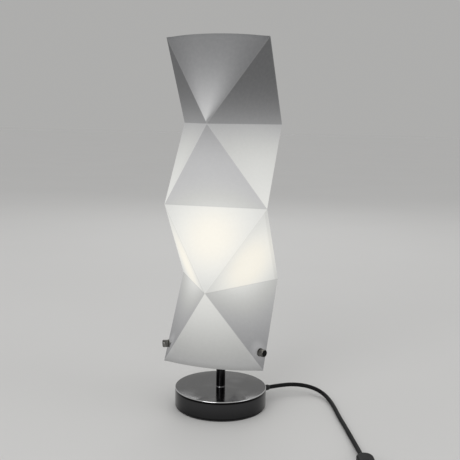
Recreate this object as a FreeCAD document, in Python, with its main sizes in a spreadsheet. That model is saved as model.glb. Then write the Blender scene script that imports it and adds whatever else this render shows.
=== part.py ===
import FreeCAD, Part
import math
import os
import Sketcher
from FreeCAD import Placement, Rotation, Vector

# Table lamp with a folded paper shade. A chrome drum base with an iron weight in it carries a
# short tube. On the tube stand a hub with three arms, which hold the shade by three thumb nuts,
# and a screw lampholder with its bulb. The mains lead leaves the base through a strain relief,
# passes an inline switch, is wound into a coil and ends in a flat two-pin plug.
#
# Millimetres. The origin is the centre of the base's underside, +Z is up, and the front of the
# shade, with the middle of a sheet edge above it, faces -Y.

doc = FreeCAD.newDocument("table_lamp")
sheet = doc.addObject("Spreadsheet::Sheet", "Sizes")

DRIVING_SIZES = (
    ("base_radius", 60.0, "outside of the chrome drum"),
    ("base_height", 26.0, "table to the top of the drum"),
    ("base_wall", 1.5, "sheet steel of the drum"),
    ("base_edge_round", 1.2, "rounding of the drum's top edge"),
    ("pad_thickness", 2.0, "foam pad under the base"),
    ("pad_inset", 1.5, "pad edge inside the drum's wall"),
    ("cover_thickness", 1.6, "steel disc that closes the base"),
    ("cover_screw_circle", 45.0, "cover screws from the axis"),
    ("cover_screw_radius", 1.5, "M3 shank"),
    ("cover_screw_length", 9.0, "head face to tip"),
    ("loose_fit", 0.3, "gap round pieces that drop in"),
    ("close_fit", 0.05, "radial gap in screwed and bored fits"),
    ("counterbore_radius", 17.0, "recess for nut and washer under the weight"),
    ("counterbore_roof", 17.0, "height of the recess's roof"),
    ("channel_half_width", 5.0, "lead's channel in the weight"),
    ("lead_radius", 2.75, "sheathed mains lead"),
    ("lead_height", 12.5, "lead's centre where it leaves the base"),
    ("lead_azimuth", 42.5, "direction in which the lead leaves, degrees from +X"),
    ("lead_start", 21.0, "where the sheath ends inside the base"),
    ("bushing_depth", 8.0, "strain relief inside the drum's wall"),
    ("bushing_neck_radius", 3.9, "strain relief in the wall's hole"),
    ("bushing_flange_radius", 5.5, "collar against the wall"),
    ("bushing_flange_thickness", 1.5, "collar"),
    ("bushing_reach", 12.5, "tapered sleeve beyond the collar"),
    ("stop_radius", 4.5, "ring that keeps the lead from pulling out"),
    ("stop_length", 6.0, "the same ring along the lead"),
    ("wire_radius", 1.1, "insulated conductor"),
    ("tube_radius", 5.0, "threaded tube through the lamp"),
    ("tube_bore", 4.0, "wireway"),
    ("tube_foot", 9.0, "lower end of the threaded tube"),
    ("washer_thickness", 1.5, "base washer"),
    ("washer_radius", 13.0, "base washer"),
    ("tube_nut_flats", 16.0, "across flats"),
    ("tube_nut_height", 5.0, "base nut"),
    ("stem_radius", 6.0, "chrome sleeve round the tube"),
    ("stem_length", 54.0, "drum to hub"),
    ("hub_radius", 9.5, "carrier hub"),
    ("hub_height", 16.0, "carrier hub"),
    ("hub_chamfer", 0.8, "carrier hub"),
    ("arm_radius", 2.5, "carrier arm"),
    ("stud_radius", 1.95, "M4 end of an arm"),
    ("stud_reach", 6.2, "stud beyond the outer washer's seat"),
    ("seat_radius", 5.25, "plain washers at the shade"),
    ("seat_thickness", 1.0, "plain washers at the shade"),
    ("seat_gap", 0.06, "washer to the paper at the nearest edge"),
    ("thumb_nut_radius", 4.75, "barrel nut"),
    ("thumb_nut_length", 7.0, "barrel nut"),
    ("thumb_nut_chamfer", 0.7, "barrel nut"),
    ("thumb_nut_end", 0.6, "closed end beyond the bore"),
    ("paper_thickness", 0.5, "folded translucent paper"),
    ("storey_height", 101.0, "fold level to fold level"),
    ("corner_radius", 76.0, "fold corners from the axis"),
    ("shade_foot", 66.0, "lowest fold corners above the table"),
    ("top_bow", 12.5, "free top edges bulge out at mid edge"),
    ("foot_bow", 7.0, "free bottom edges bulge out at mid edge"),
    ("stud_rise", 22.0, "studs above the lowest corners"),
    ("stud_hole_radius", 2.4, "holes in the paper"),
    ("holder_radius", 20.0, "lampholder"),
    ("holder_wall", 1.6, "lampholder shells"),
    ("holder_neck_radius", 8.5, "threaded neck"),
    ("holder_neck_height", 5.0, "threaded neck"),
    ("grub_radius", 1.5, "screw that locks the neck"),
    ("holder_cap_height", 26.0, "neck to flange"),
    ("holder_flange", 2.0, "insert's flange between the shells"),
    ("insert_depth", 6.0, "insert below its flange"),
    ("insert_rise", 6.0, "insert above its flange"),
    ("skirt_height", 34.0, "upper shell"),
    ("socket_radius", 13.35, "inside of the brass screw shell"),
    ("socket_wall", 0.5, "brass screw shell"),
    ("socket_height", 24.0, "brass screw shell"),
    ("rivet_radius", 1.2, "rivets through the insert"),
    ("shell_rivet_circle", 10.0, "screw shell's rivet from the axis"),
    ("strap_thickness", 1.0, "terminal strap under the insert"),
    ("terminal_radius", 2.6, "terminal post, and half the strap's width"),
    ("terminal_height", 6.0, "terminal post"),
    ("terminal_depth", 5.0, "conductor's bore in the post"),
    ("contact_rise", 3.9, "centre contact above the insert"),
    ("contact_gap", 0.1, "centre contact to the bulb"),
    ("bulb_radius", 30.0, "globe of the bulb"),
    ("bulb_centre", 78.0, "globe's centre above the contact"),
    ("bulb_cap_radius", 13.05, "Edison screw cap"),
    ("bulb_cap_wall", 0.55, "Edison screw cap"),
    ("bulb_cap_top", 26.0, "cap's rim above the contact"),
    ("bulb_neck_radius", 12.2, "glass inside the cap"),
    ("glass_wall", 1.0, "bulb glass"),
    ("switch_length", 62.0, "inline switch"),
    ("switch_half_width", 9.5, "inline switch"),
    ("switch_split", 6.5, "joint of the two halves above the table"),
    ("switch_height", 16.0, "inline switch"),
    ("switch_floor", 2.0, "lower half's floor"),
    ("switch_roof", 2.0, "upper half's roof"),
    ("switch_cavity_half", 22.0, "hollow of the switch, half its length"),
    ("switch_cavity_side", 6.0, "hollow of the switch, half its width"),
    ("switch_grip", 13.0, "lead inside the switch, up to its terminal"),
    ("switch_x", 207.7, "switch centre"),
    ("switch_y", -154.3, "switch centre"),
    ("switch_azimuth", -74.0, "direction of the switch, degrees from +X"),
    ("rocker_half_length", 9.2, "rocker"),
    ("rocker_half_width", 4.2, "rocker"),
    ("rocker_rise", 4.6, "rocker's ends above its pivot"),
    ("rocker_dip", 3.6, "rocker's middle above its pivot"),
    ("rocker_skirt", 2.5, "rocker below its pivot"),
    ("rocker_pivot", 12.2, "pivot above the table"),
    ("rocker_tilt", 8.0, "tilt each way, degrees"),
    ("pivot_radius", 1.0, "rocker's pin"),
    ("pivot_half_length", 7.5, "rocker's pin"),
    ("coil_x", 193.0, "centre of the coil"),
    ("coil_y", -250.0, "centre of the coil"),
    ("coil_start", 5.0, "where the lead enters the coil, degrees from +X"),
    ("coil_outer", 42.75, "outermost turn's centre line"),
    ("coil_pitch", 6.0, "turn to turn, and layer to layer"),
    ("plug_width", 35.0, "flat two-pin plug"),
    ("plug_height", 14.0, "flat two-pin plug"),
    ("plug_length", 36.0, "flat two-pin plug"),
    ("plug_boot_length", 9.5, "tapered boot on the lead"),
    ("plug_boot_radius", 4.6, "boot where it meets the plug"),
    ("pin_radius", 2.0, "plug pin"),
    ("pin_length", 19.0, "plug pin"),
    ("pin_spacing", 19.0, "pin centre to pin centre"),
    ("plug_x", 138.0, "plug's rear face"),
    ("plug_y", -291.7, "plug's rear face"),
    ("plug_azimuth", 176.0, "direction of the plug, degrees from +X"),
)


class Size:
    """A size that carries its value now and the formula that ties it to the sheet."""

    def __init__(self, value, formula):
        self.value = value
        self.formula = formula

    def __add__(self, other):
        other = as_size(other)
        return Size(self.value + other.value, f"({self.formula} + {other.formula})")

    def __sub__(self, other):
        other = as_size(other)
        return Size(self.value - other.value, f"({self.formula} - {other.formula})")

    def __mul__(self, other):
        other = as_size(other)
        return Size(self.value * other.value, f"({self.formula} * {other.formula})")

    def __truediv__(self, other):
        other = as_size(other)
        return Size(self.value / other.value, f"({self.formula} / {other.formula})")

    def __neg__(self):
        return Size(-self.value, f"(0 - {self.formula})")


def as_size(number):
    """A bare number joins a formula as itself."""
    if isinstance(number, Size):
        return number
    return Size(float(number), repr(float(number)))


for row, (name, number, note) in enumerate(DRIVING_SIZES, start=1):
    sheet.set(f"A{row}", note)
    sheet.set(f"B{row}", str(number))
    sheet.setAlias(f"B{row}", name)
doc.recompute()


def size(name):
    """The driving size of that name."""
    return Size(float(sheet.get(name)), f"Sizes.{name}")


def square_root(length):
    return Size(math.sqrt(length.value), f"sqrt({length.formula})")


# ---------------------------------------------------------------- how pieces are made

ORIGIN = as_size(0)


def new_body(label):
    body = doc.addObject("PartDesign::Body", label)
    body.Label = label
    return body


def sketch_on(body, plane, name):
    """A sketch on one of the body's own origin planes."""
    sketch = body.newObject("Sketcher::SketchObject", name)
    support = [part for part in body.Origin.OriginFeatures if part.Role == plane][0]
    sketch.AttachmentSupport = [(support, "")]
    sketch.MapMode = "FlatFace"
    return sketch


def tie_point(sketch, geometry, end, across, up):
    """Hold a point at its distances from the sketch's origin."""
    for kind, axis, distance in (("DistanceX", -2, across), ("DistanceY", -1, up)):
        distance = as_size(distance)
        if distance.formula == ORIGIN.formula:
            sketch.addConstraint(Sketcher.Constraint("PointOnObject", geometry, end, axis))
        else:
            rule = Sketcher.Constraint(kind, -1, 1, geometry, end, distance.value)
            index = sketch.addConstraint(rule)
            sketch.setExpression(f"Constraints[{index}]", distance.formula)


def draw_outline(sketch, points):
    """A closed outline of straight lines with every corner tied."""
    corners = [Vector(as_size(across).value, as_size(up).value, 0) for across, up in points]
    first = sketch.GeometryCount
    count = len(corners)
    for index in range(count):
        line = Part.LineSegment(corners[index], corners[(index + 1) % count])
        sketch.addGeometry(line, False)
    for index in range(count):
        following = first + (index + 1) % count
        sketch.addConstraint(Sketcher.Constraint("Coincident", first + index, 2, following, 1))
    for index, (across, up) in enumerate(points):
        tie_point(sketch, first + index, 1, across, up)


def draw_circle(sketch, across, up, radius):
    centre = Vector(as_size(across).value, as_size(up).value, 0)
    radius = as_size(radius)
    index = sketch.addGeometry(Part.Circle(centre, Vector(0, 0, 1), radius.value), False)
    rule = sketch.addConstraint(Sketcher.Constraint("Radius", index, radius.value))
    sketch.setExpression(f"Constraints[{rule}]", radius.formula)
    tie_point(sketch, index, 3, across, up)


def draw_stadium(sketch, half_length, half_width):
    """Two straight sides joined by half circles, centred on the origin."""
    run = (half_length - half_width).value
    side = half_width.value
    right = Part.Circle(Vector(run, 0, 0), Vector(0, 0, 1), side)
    left = Part.Circle(Vector(-run, 0, 0), Vector(0, 0, 1), side)
    quarter = math.pi / 2
    lower = sketch.addGeometry(Part.LineSegment(Vector(-run, -side, 0), Vector(run, -side, 0)))
    turn = sketch.addGeometry(Part.ArcOfCircle(right, -quarter, quarter))
    upper = sketch.addGeometry(Part.LineSegment(Vector(run, side, 0), Vector(-run, side, 0)))
    back = sketch.addGeometry(Part.ArcOfCircle(left, quarter, 3 * quarter))
    for one, one_end, two, two_end in ((lower, 2, turn, 1), (turn, 2, upper, 1),
                                       (upper, 2, back, 1), (back, 2, lower, 1)):
        sketch.addConstraint(Sketcher.Constraint("Tangent", one, one_end, two, two_end))
    tie_point(sketch, turn, 3, half_length - half_width, ORIGIN)
    tie_point(sketch, back, 3, half_width - half_length, ORIGIN)
    rule = sketch.addConstraint(Sketcher.Constraint("Radius", turn, side))
    sketch.setExpression(f"Constraints[{rule}]", half_width.formula)


def turned(label, outline, about="V_Axis"):
    """A lathe-turned piece: the outline (across, up) spun round a sketch axis."""
    body = new_body(label)
    sketch = sketch_on(body, "XZ_Plane", label + "_outline")
    draw_outline(sketch, outline)
    spin = body.newObject("PartDesign::Revolution", label + "_turn")
    spin.Profile = sketch
    spin.ReferenceAxis = (sketch, [about])
    spin.Angle = 360
    return body


def pad(body, sketch, length):
    feature = body.newObject("PartDesign::Pad", sketch.Name + "_pad")
    feature.Profile = sketch
    feature.Length = as_size(length).value
    feature.setExpression("Length", as_size(length).formula)
    return feature


def pocket(body, sketch, length, upward=True, both_ways=False):
    """Cut a sketch into the body, and make sure that it did cut."""
    doc.recompute()
    before = body.Shape.Volume
    feature = body.newObject("PartDesign::Pocket", sketch.Name + "_cut")
    feature.Profile = sketch
    feature.Length = as_size(length).value
    feature.setExpression("Length", as_size(length).formula)
    feature.Reversed = upward
    feature.Midplane = both_ways
    doc.recompute()
    if not body.Shape.Volume < before - 1e-3:
        raise ValueError(f"{sketch.Name} cuts nothing")
    return feature


def polar(body, feature, sketch, axis="V_Axis"):
    """Three of a feature, a third of a turn apart."""
    pattern = body.newObject("PartDesign::PolarPattern", feature.Name + "_three")
    pattern.Originals = [feature]
    pattern.Axis = (sketch, [axis])
    pattern.Angle = 360
    pattern.Occurrences = 3
    body.Tip = pattern
    return pattern


def circles_at(body, radius, height):
    """Names of the body's circular edges of that radius at that height."""
    doc.recompute()
    found = []
    for index, edge in enumerate(body.Shape.Edges, start=1):
        curve = edge.Curve
        if isinstance(curve, Part.Circle) and abs(curve.Radius - radius.value) < 1e-4:
            if abs(edge.CenterOfMass.z - as_size(height).value) < 1e-4:
                found.append(f"Edge{index}")
    return found


def outer_edges_at(body, height):
    """Names of the edges of the outer wire of the flat face at that height."""
    doc.recompute()
    flat = [face for face in body.Shape.Faces if face.BoundBox.ZLength < 1e-6
            and abs(face.CenterOfMass.z - as_size(height).value) < 1e-6]
    rim = max(flat, key=lambda face: face.Area).OuterWire
    return [f"Edge{index}" for index, edge in enumerate(body.Shape.Edges, start=1)
            if any(edge.isSame(other) for other in rim.Edges)]


def soften(body, kind, edges, amount):
    """Fillet or chamfer the named edges of the body."""
    amount = as_size(amount)
    base = body.Tip
    feature = body.newObject("PartDesign::" + kind, f"{body.Name}_{kind.lower()}_{len(body.Group)}")
    feature.Base = (base, edges)
    name = "Radius" if kind == "Fillet" else "Size"
    setattr(feature, name, amount.value)
    feature.setExpression(name, amount.formula)
    return feature


def put(piece, across=0, along=0, up=0, yaw=0.0, pitch=0.0):
    """Place a piece, its position tied to the sheet; yaw turns about Z, pitch tips Z to X."""
    place = [as_size(value) for value in (across, along, up)]
    turn = Rotation(as_size(yaw).value, as_size(pitch).value, 0)
    piece.Placement = Placement(Vector(*[value.value for value in place]), turn)
    for name, value in zip("xyz", place):
        piece.setExpression(f"Placement.Base.{name}", value.formula)
    return piece


def shaped(label, shape):
    """A piece whose shape comes from its own geometry."""
    piece = doc.addObject("Part::Feature", label)
    piece.Label = label
    piece.Shape = shape
    return piece


# ---------------------------------------------------------------- sizes that follow

tube_hole = size("tube_radius") + size("close_fit")
shell_inside = size("base_radius") - size("base_wall")
shell_ceiling = size("base_height") - size("base_wall")
weight_radius = shell_inside - size("loose_fit")
weight_foot = size("pad_thickness") + size("cover_thickness")
lead_hole = size("lead_radius") + size("close_fit")
bushing_start = shell_inside - size("bushing_depth")
relief_end = size("base_radius") + size("bushing_flange_thickness") + size("bushing_reach")
stem_bore = size("tube_radius") + size("loose_fit")
hub_foot = size("base_height") + size("stem_length")
hub_top = hub_foot + size("hub_height")
stud_height = size("shade_foot") + size("stud_rise")
hub_middle = hub_foot + size("hub_height") / 2
cap_rim = hub_top + size("holder_cap_height")
insert_top = cap_rim + size("holder_flange") + size("insert_rise")
bulb_foot = insert_top + size("contact_rise") + size("contact_gap")
STUD_AZIMUTHS = {"left": 210, "right": 330, "back": 90}

# The bowed free edges draw the bottom corners in a little. From such a corner a panel leans in
# as it rises; the washers meet it at the studs where their rims come nearest to it.
half_edge = size("corner_radius") * math.cos(math.radians(30))
edge_bend = size("foot_bow") / half_edge
foot_corner = size("corner_radius") - size("corner_radius") * edge_bend * edge_bend * 2 / 3
foot_drop = square_root(size("storey_height") * size("storey_height")
                        + foot_corner * (size("corner_radius") - foot_corner))
panel_lean = (foot_corner - size("corner_radius") / 2) / foot_drop
paper_inset = size("paper_thickness") * square_root(panel_lean * panel_lean + 1)
paper_depth = paper_inset - paper_inset * size("stud_rise") / size("storey_height") / 2
paper_face = foot_corner - panel_lean * (size("stud_rise") + foot_drop - size("storey_height"))
rim_shift = panel_lean * size("seat_radius") + size("seat_gap")
inner_seat = paper_face - paper_depth - rim_shift
outer_seat = paper_face + rim_shift
arm_end = inner_seat - size("seat_thickness")
nut_seat = outer_seat + size("seat_thickness")
stud_end = nut_seat + size("stud_reach") - size("seat_thickness")


# ---------------------------------------------------------------- base

# Black foam pad that the lamp stands on, glued under the cover and the drum's rim.
pad_radius = size("base_radius") - size("pad_inset")
turned("base_pad", [(0, 0), (pad_radius, 0), (pad_radius, size("pad_thickness")),
                    (0, size("pad_thickness"))])

# Chrome drum, a drawn cap that is open below, with the lead's hole in its wall.
base_shell = turned("base_shell", [
    (tube_hole, shell_ceiling), (shell_inside, shell_ceiling),
    (shell_inside, size("pad_thickness")), (size("base_radius"), size("pad_thickness")),
    (size("base_radius"), size("base_height")), (tube_hole, size("base_height"))])
lead_window = sketch_on(base_shell, "YZ_Plane", "lead_window")
draw_circle(lead_window, ORIGIN, size("lead_height"), size("bushing_neck_radius") + 0.1)
pocket(base_shell, lead_window, size("base_radius") + 5)
soften(base_shell, "Fillet", circles_at(base_shell, size("base_radius"), size("base_height")),
       size("base_edge_round"))
put(base_shell, yaw=size("lead_azimuth"))

# Cast-iron weight, with a recess for the tube's nut, a channel for the lead and screw holes.
base_weight = turned("base_weight", [
    (tube_hole, size("counterbore_roof")), (size("counterbore_radius"), size("counterbore_roof")),
    (size("counterbore_radius"), weight_foot), (weight_radius, weight_foot),
    (weight_radius, shell_ceiling), (tube_hole, shell_ceiling)])
channel = sketch_on(base_weight, "XY_Plane", "lead_channel")
half = size("channel_half_width")
channel_end = size("base_radius") + 1
draw_outline(channel, [(0, -half), (channel_end, -half), (channel_end, half), (0, half)])
pocket(base_weight, channel, size("lead_height") + half)
weight_holes = sketch_on(base_weight, "XY_Plane", "weight_holes")
draw_circle(weight_holes, -size("cover_screw_circle"), ORIGIN,
            size("cover_screw_radius") + size("close_fit"))
weight_bore = pocket(base_weight, weight_holes,
                     size("pad_thickness") + size("cover_screw_length") + 1)
polar(base_weight, weight_bore, weight_holes, "N_Axis")
put(base_weight, yaw=size("lead_azimuth"))

# Steel disc that closes the base, held by three countersunk screws.
base_cover = turned("base_cover", [
    (0, size("pad_thickness")), (weight_radius, size("pad_thickness")),
    (weight_radius, weight_foot), (0, weight_foot)])
cover_holes = sketch_on(base_cover, "XY_Plane", "cover_holes")
draw_circle(cover_holes, -size("cover_screw_circle"), ORIGIN,
            size("cover_screw_radius") + size("close_fit") * 3)
cover_bore = pocket(base_cover, cover_holes, weight_foot + 1)
polar(base_cover, cover_bore, cover_holes, "N_Axis")
screw_sink = size("cover_thickness") * 0.75
soften(base_cover, "Chamfer",
       circles_at(base_cover, size("cover_screw_radius") + size("close_fit") * 3,
                  size("pad_thickness")), screw_sink)
put(base_cover, yaw=size("lead_azimuth"))

cover_screws = new_body("cover_screws")
cover_screws.AllowCompound = True
screw_outline = sketch_on(cover_screws, "XZ_Plane", "cover_screw_outline")
screw_axis = size("cover_screw_circle")
screw_face = size("pad_thickness") + size("close_fit")
shank = size("cover_screw_radius")
draw_outline(screw_outline, [
    (-screw_axis, screw_face), (shank + screw_sink - screw_axis, screw_face),
    (shank - screw_axis, screw_face + screw_sink),
    (shank - screw_axis, screw_face + size("cover_screw_length")),
    (-screw_axis, screw_face + size("cover_screw_length"))])
screw_turn = cover_screws.newObject("PartDesign::Revolution", "cover_screw_turn")
screw_turn.Profile = screw_outline
screw_turn.ReferenceAxis = (screw_outline, ["Edge5"])
screw_turn.Angle = 360
doc.recompute()
polar(cover_screws, screw_turn, screw_outline)
put(cover_screws, yaw=size("lead_azimuth"))

# Strain relief: a black moulding through the wall, with a tapered sleeve outside.
flange_face = size("base_radius") + size("bushing_flange_thickness")
cord_bushing = turned("cord_bushing", [
    (lead_hole, bushing_start), (size("bushing_neck_radius"), bushing_start),
    (size("bushing_neck_radius"), size("base_radius")),
    (size("bushing_flange_radius"), size("base_radius")),
    (size("bushing_flange_radius"), flange_face),
    (size("bushing_neck_radius") + 0.3, flange_face),
    (lead_hole + 0.6, relief_end), (lead_hole, relief_end)])
put(cord_bushing, up=size("lead_height"), yaw=size("lead_azimuth"), pitch=90.0)

# Ring crimped on the lead just inside the strain relief.
cord_stop = turned("cord_stop", [
    (lead_hole, bushing_start - size("stop_length")),
    (size("stop_radius"), bushing_start - size("stop_length")),
    (size("stop_radius"), bushing_start), (lead_hole, bushing_start)])
put(cord_stop, up=size("lead_height"), yaw=size("lead_azimuth"), pitch=90.0)

# Sheathed lead inside the base, out to the strain relief's tip.
inner_lead = turned("cord_inner", [
    (0, size("lead_start")), (size("lead_radius"), size("lead_start")),
    (size("lead_radius"), relief_end), (0, relief_end)])
put(inner_lead, up=size("lead_height"), yaw=size("lead_azimuth"), pitch=90.0)

# Washer and nut that pull the tube down onto the weight.
washer_foot = size("counterbore_roof") - size("washer_thickness")
turned("base_washer", [(tube_hole, washer_foot), (size("washer_radius"), washer_foot),
                       (size("washer_radius"), size("counterbore_roof")),
                       (tube_hole, size("counterbore_roof"))])
nut_blank = doc.addObject("Part::Prism", "base_nut_blank")
nut_blank.Polygon = 6
nut_blank.setExpression("Circumradius", (size("tube_nut_flats") / math.sqrt(3)).formula)
nut_blank.setExpression("Height", size("tube_nut_height").formula)
nut_bore = doc.addObject("Part::Cylinder", "base_nut_bore")
nut_bore.setExpression("Radius", tube_hole.formula)
nut_bore.setExpression("Height", size("tube_nut_height").formula)
base_nut = doc.addObject("Part::Cut", "base_nut")
base_nut.Label = "base_nut"
base_nut.Base = nut_blank
base_nut.Tool = nut_bore
put(base_nut, up=washer_foot - size("tube_nut_height"))


# ---------------------------------------------------------------- stem and carrier

# Threaded tube from the base's nut to the lampholder's neck, with the wires inside it.
tube_top = hub_top + size("holder_neck_height") + 3.5
turned("threaded_tube", [(size("tube_bore"), size("tube_foot")),
                         (size("tube_radius"), size("tube_foot")),
                         (size("tube_radius"), tube_top), (size("tube_bore"), tube_top)])

# Chrome sleeve that shows between base and shade.
turned("stem_sleeve", [(stem_bore, size("base_height")), (size("stem_radius"), size("base_height")),
                       (size("stem_radius"), hub_foot), (stem_bore, hub_foot)])

# Hub of the shade carrier, bored for the three arms.
chamfer = size("hub_chamfer")
half_hub = size("hub_height") / 2
carrier_hub = turned("carrier_hub", [
    (tube_hole, -half_hub), (size("hub_radius") - chamfer, -half_hub),
    (size("hub_radius"), chamfer - half_hub), (size("hub_radius"), half_hub - chamfer),
    (size("hub_radius") - chamfer, half_hub), (tube_hole, half_hub)])
arm_bore = sketch_on(carrier_hub, "YZ_Plane", "arm_bore")
draw_circle(arm_bore, ORIGIN, stud_height - hub_middle, size("arm_radius") + size("close_fit"))
arm_cut = pocket(carrier_hub, arm_bore, size("hub_radius") + 1)
polar(carrier_hub, arm_cut, arm_bore, "V_Axis")
put(carrier_hub, up=hub_middle, yaw=90.0)

# Three arms, each a rod with an M4 stud at its end that passes through the shade.
carrier_arms = turned("carrier_arms", [
    (size("tube_radius") + size("loose_fit"), 0),
    (size("tube_radius") + size("loose_fit"), size("arm_radius")),
    (arm_end, size("arm_radius")), (arm_end, size("stud_radius")),
    (stud_end - 0.5, size("stud_radius")), (stud_end, size("stud_radius") - 0.5),
    (stud_end, 0)], about="H_Axis")
carrier_arms.AllowCompound = True
polar(carrier_arms, carrier_arms.Tip, carrier_arms.Group[0])
put(carrier_arms, up=stud_height, yaw=90.0)

# Washers on the studs inside the shade, against the arms' shoulders.
stud_hole = size("stud_radius") + size("close_fit")
inner_washers = turned("inner_washers", [
    (arm_end, stud_hole), (arm_end, size("seat_radius")),
    (inner_seat, size("seat_radius")), (inner_seat, stud_hole)], about="H_Axis")
inner_washers.AllowCompound = True
polar(inner_washers, inner_washers.Tip, inner_washers.Group[0])
put(inner_washers, up=stud_height, yaw=90.0)

# Outside the shade each stud has a washer and a closed barrel nut that turns by hand.
for side, azimuth in STUD_AZIMUTHS.items():
    washer = turned(f"seat_washer_{side}", [
        (stud_hole, outer_seat), (size("seat_radius"), outer_seat),
        (size("seat_radius"), nut_seat), (stud_hole, nut_seat)])
    put(washer, up=stud_height, yaw=float(azimuth), pitch=90.0)
    edge = size("thumb_nut_chamfer")
    nut_tip = nut_seat + size("thumb_nut_length")
    nut_radius = size("thumb_nut_radius")
    bore_end = nut_tip - size("thumb_nut_end")
    nut = turned(f"thumb_nut_{side}", [
        (stud_hole, nut_seat), (nut_radius - edge, nut_seat), (nut_radius, nut_seat + edge),
        (nut_radius, nut_tip - edge), (nut_radius - edge, nut_tip), (0, nut_tip),
        (0, bore_end), (stud_hole, bore_end)])
    put(nut, up=stud_height, yaw=float(azimuth), pitch=90.0)


# ---------------------------------------------------------------- lampholder

holder_inside = size("holder_radius") - size("holder_wall")
cone_foot = hub_top + size("holder_neck_height")
cone_top = cone_foot + size("holder_radius") - size("holder_neck_radius")

# Lower shell with the threaded neck that screws onto the tube, and its grub screw's hole.
holder_cap = turned("holder_cap", [
    (tube_hole, hub_top), (size("holder_neck_radius"), hub_top),
    (size("holder_neck_radius"), cone_foot), (size("holder_radius"), cone_top),
    (size("holder_radius"), cap_rim), (holder_inside, cap_rim),
    (holder_inside, cone_top + size("holder_wall") / 2),
    (size("holder_neck_radius"), cone_foot + size("holder_wall") * 1.5),
    (tube_hole, cone_foot + size("holder_wall") * 1.5)])
grub_height = hub_top + size("holder_neck_height") / 2
grub_way = sketch_on(holder_cap, "YZ_Plane", "grub_way")
draw_circle(grub_way, ORIGIN, grub_height, size("grub_radius") + size("close_fit"))
pocket(holder_cap, grub_way, size("holder_neck_radius") + 2)
put(holder_cap, yaw=30.0)
grub_screw = turned("holder_grub_screw", [
    (0, tube_hole), (size("grub_radius"), tube_hole),
    (size("grub_radius"), size("holder_neck_radius") + 0.6),
    (0, size("holder_neck_radius") + 0.6)])
put(grub_screw, up=grub_height, yaw=30.0, pitch=90.0)

# Moulded insert that carries the contacts, clamped by its flange between the two shells.
flange_top = cap_rim + size("holder_flange")
holder_insert = turned("holder_insert", [
    (0, cap_rim - size("insert_depth")),
    (holder_inside - size("loose_fit"), cap_rim - size("insert_depth")),
    (holder_inside - size("loose_fit"), cap_rim), (size("holder_radius"), cap_rim),
    (size("holder_radius"), flange_top), (holder_inside - size("loose_fit"), flange_top),
    (holder_inside - size("loose_fit"), insert_top), (0, insert_top)])
rivet_ways = sketch_on(holder_insert, "XY_Plane", "rivet_ways")
rivet_hole = size("rivet_radius") + size("close_fit")
draw_circle(rivet_ways, ORIGIN, ORIGIN, rivet_hole)
draw_circle(rivet_ways, ORIGIN, -size("shell_rivet_circle"), rivet_hole)
pocket(holder_insert, rivet_ways, insert_top + 1)

# Upper shell round the bulb's cap.
turned("holder_skirt", [
    (holder_inside, flange_top), (size("holder_radius"), flange_top),
    (size("holder_radius"), flange_top + size("skirt_height")),
    (holder_inside, flange_top + size("skirt_height"))])

# Brass screw shell, and the sprung centre contact. Rivets join them to the terminals below.
strap_foot = cap_rim - size("insert_depth") - size("strap_thickness")
terminal_foot = strap_foot - size("terminal_height")
shell_side = size("socket_radius") + size("socket_wall")
socket_shell = turned("socket_shell", [
    (size("shell_rivet_circle") - 2.5, insert_top), (shell_side, insert_top),
    (shell_side, insert_top + size("socket_height")),
    (size("socket_radius"), insert_top + size("socket_height")),
    (size("socket_radius"), insert_top + size("socket_wall")),
    (size("shell_rivet_circle") - 2.5, insert_top + size("socket_wall"))])
shell_hole = sketch_on(socket_shell, "XY_Plane", "shell_rivet_hole")
draw_circle(shell_hole, ORIGIN, -size("shell_rivet_circle"), rivet_hole)
pocket(socket_shell, shell_hole, insert_top + 1)
turned("centre_contact", [
    (0, strap_foot + size("strap_thickness")),
    (size("rivet_radius"), strap_foot + size("strap_thickness")),
    (size("rivet_radius"), insert_top), (5.0, insert_top), (5.0, insert_top + 0.6),
    (1.6, insert_top + size("contact_rise")), (0, insert_top + size("contact_rise"))])
shell_rivet = turned("shell_rivet", [
    (0, strap_foot + size("strap_thickness")),
    (size("rivet_radius"), strap_foot + size("strap_thickness")),
    (size("rivet_radius"), insert_top + size("socket_wall")),
    (size("rivet_radius") + 0.8, insert_top + size("socket_wall")),
    (size("rivet_radius") + 0.8, insert_top + size("socket_wall") + 0.6),
    (0, insert_top + size("socket_wall") + 0.6)])
put(shell_rivet, along=-size("shell_rivet_circle"))


def terminal(label, near, far, post):
    """A brass strap under the insert with a post that takes the end of one conductor."""
    body = new_body(label)
    strap = sketch_on(body, "XY_Plane", label + "_strap")
    half_strap = size("terminal_radius")
    draw_outline(strap, [(-half_strap, near), (half_strap, near), (half_strap, far),
                         (-half_strap, far)])
    pad(body, strap, size("strap_thickness"))
    round_post = sketch_on(body, "XY_Plane", label + "_post")
    draw_circle(round_post, ORIGIN, post, size("terminal_radius"))
    stand = pad(body, round_post, size("terminal_height"))
    stand.Reversed = True
    doc.recompute()
    wire_way = sketch_on(body, "XY_Plane", label + "_wire_way")
    wire_way.AttachmentOffset = Placement(Vector(0, 0, -size("terminal_height").value), Rotation())
    wire_way.setExpression("AttachmentOffset.Base.z", (-size("terminal_height")).formula)
    draw_circle(wire_way, ORIGIN, post, size("wire_radius") + size("close_fit"))
    pocket(body, wire_way, size("terminal_depth"))
    return put(body, up=strap_foot)


terminal_side = size("tube_bore") + 4
post_edge = size("terminal_radius")
terminal("terminal_live", -size("rivet_radius") - 0.4, terminal_side + post_edge, terminal_side)
terminal("terminal_neutral", -size("shell_rivet_circle") - size("rivet_radius") - 0.4,
         post_edge - terminal_side, -terminal_side)


# ---------------------------------------------------------------- bulb

cap_foot = bulb_foot + 3.6
cap_wall = size("bulb_cap_wall")
cap_radius = size("bulb_cap_radius")
cap_rim_top = bulb_foot + size("bulb_cap_top")

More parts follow.
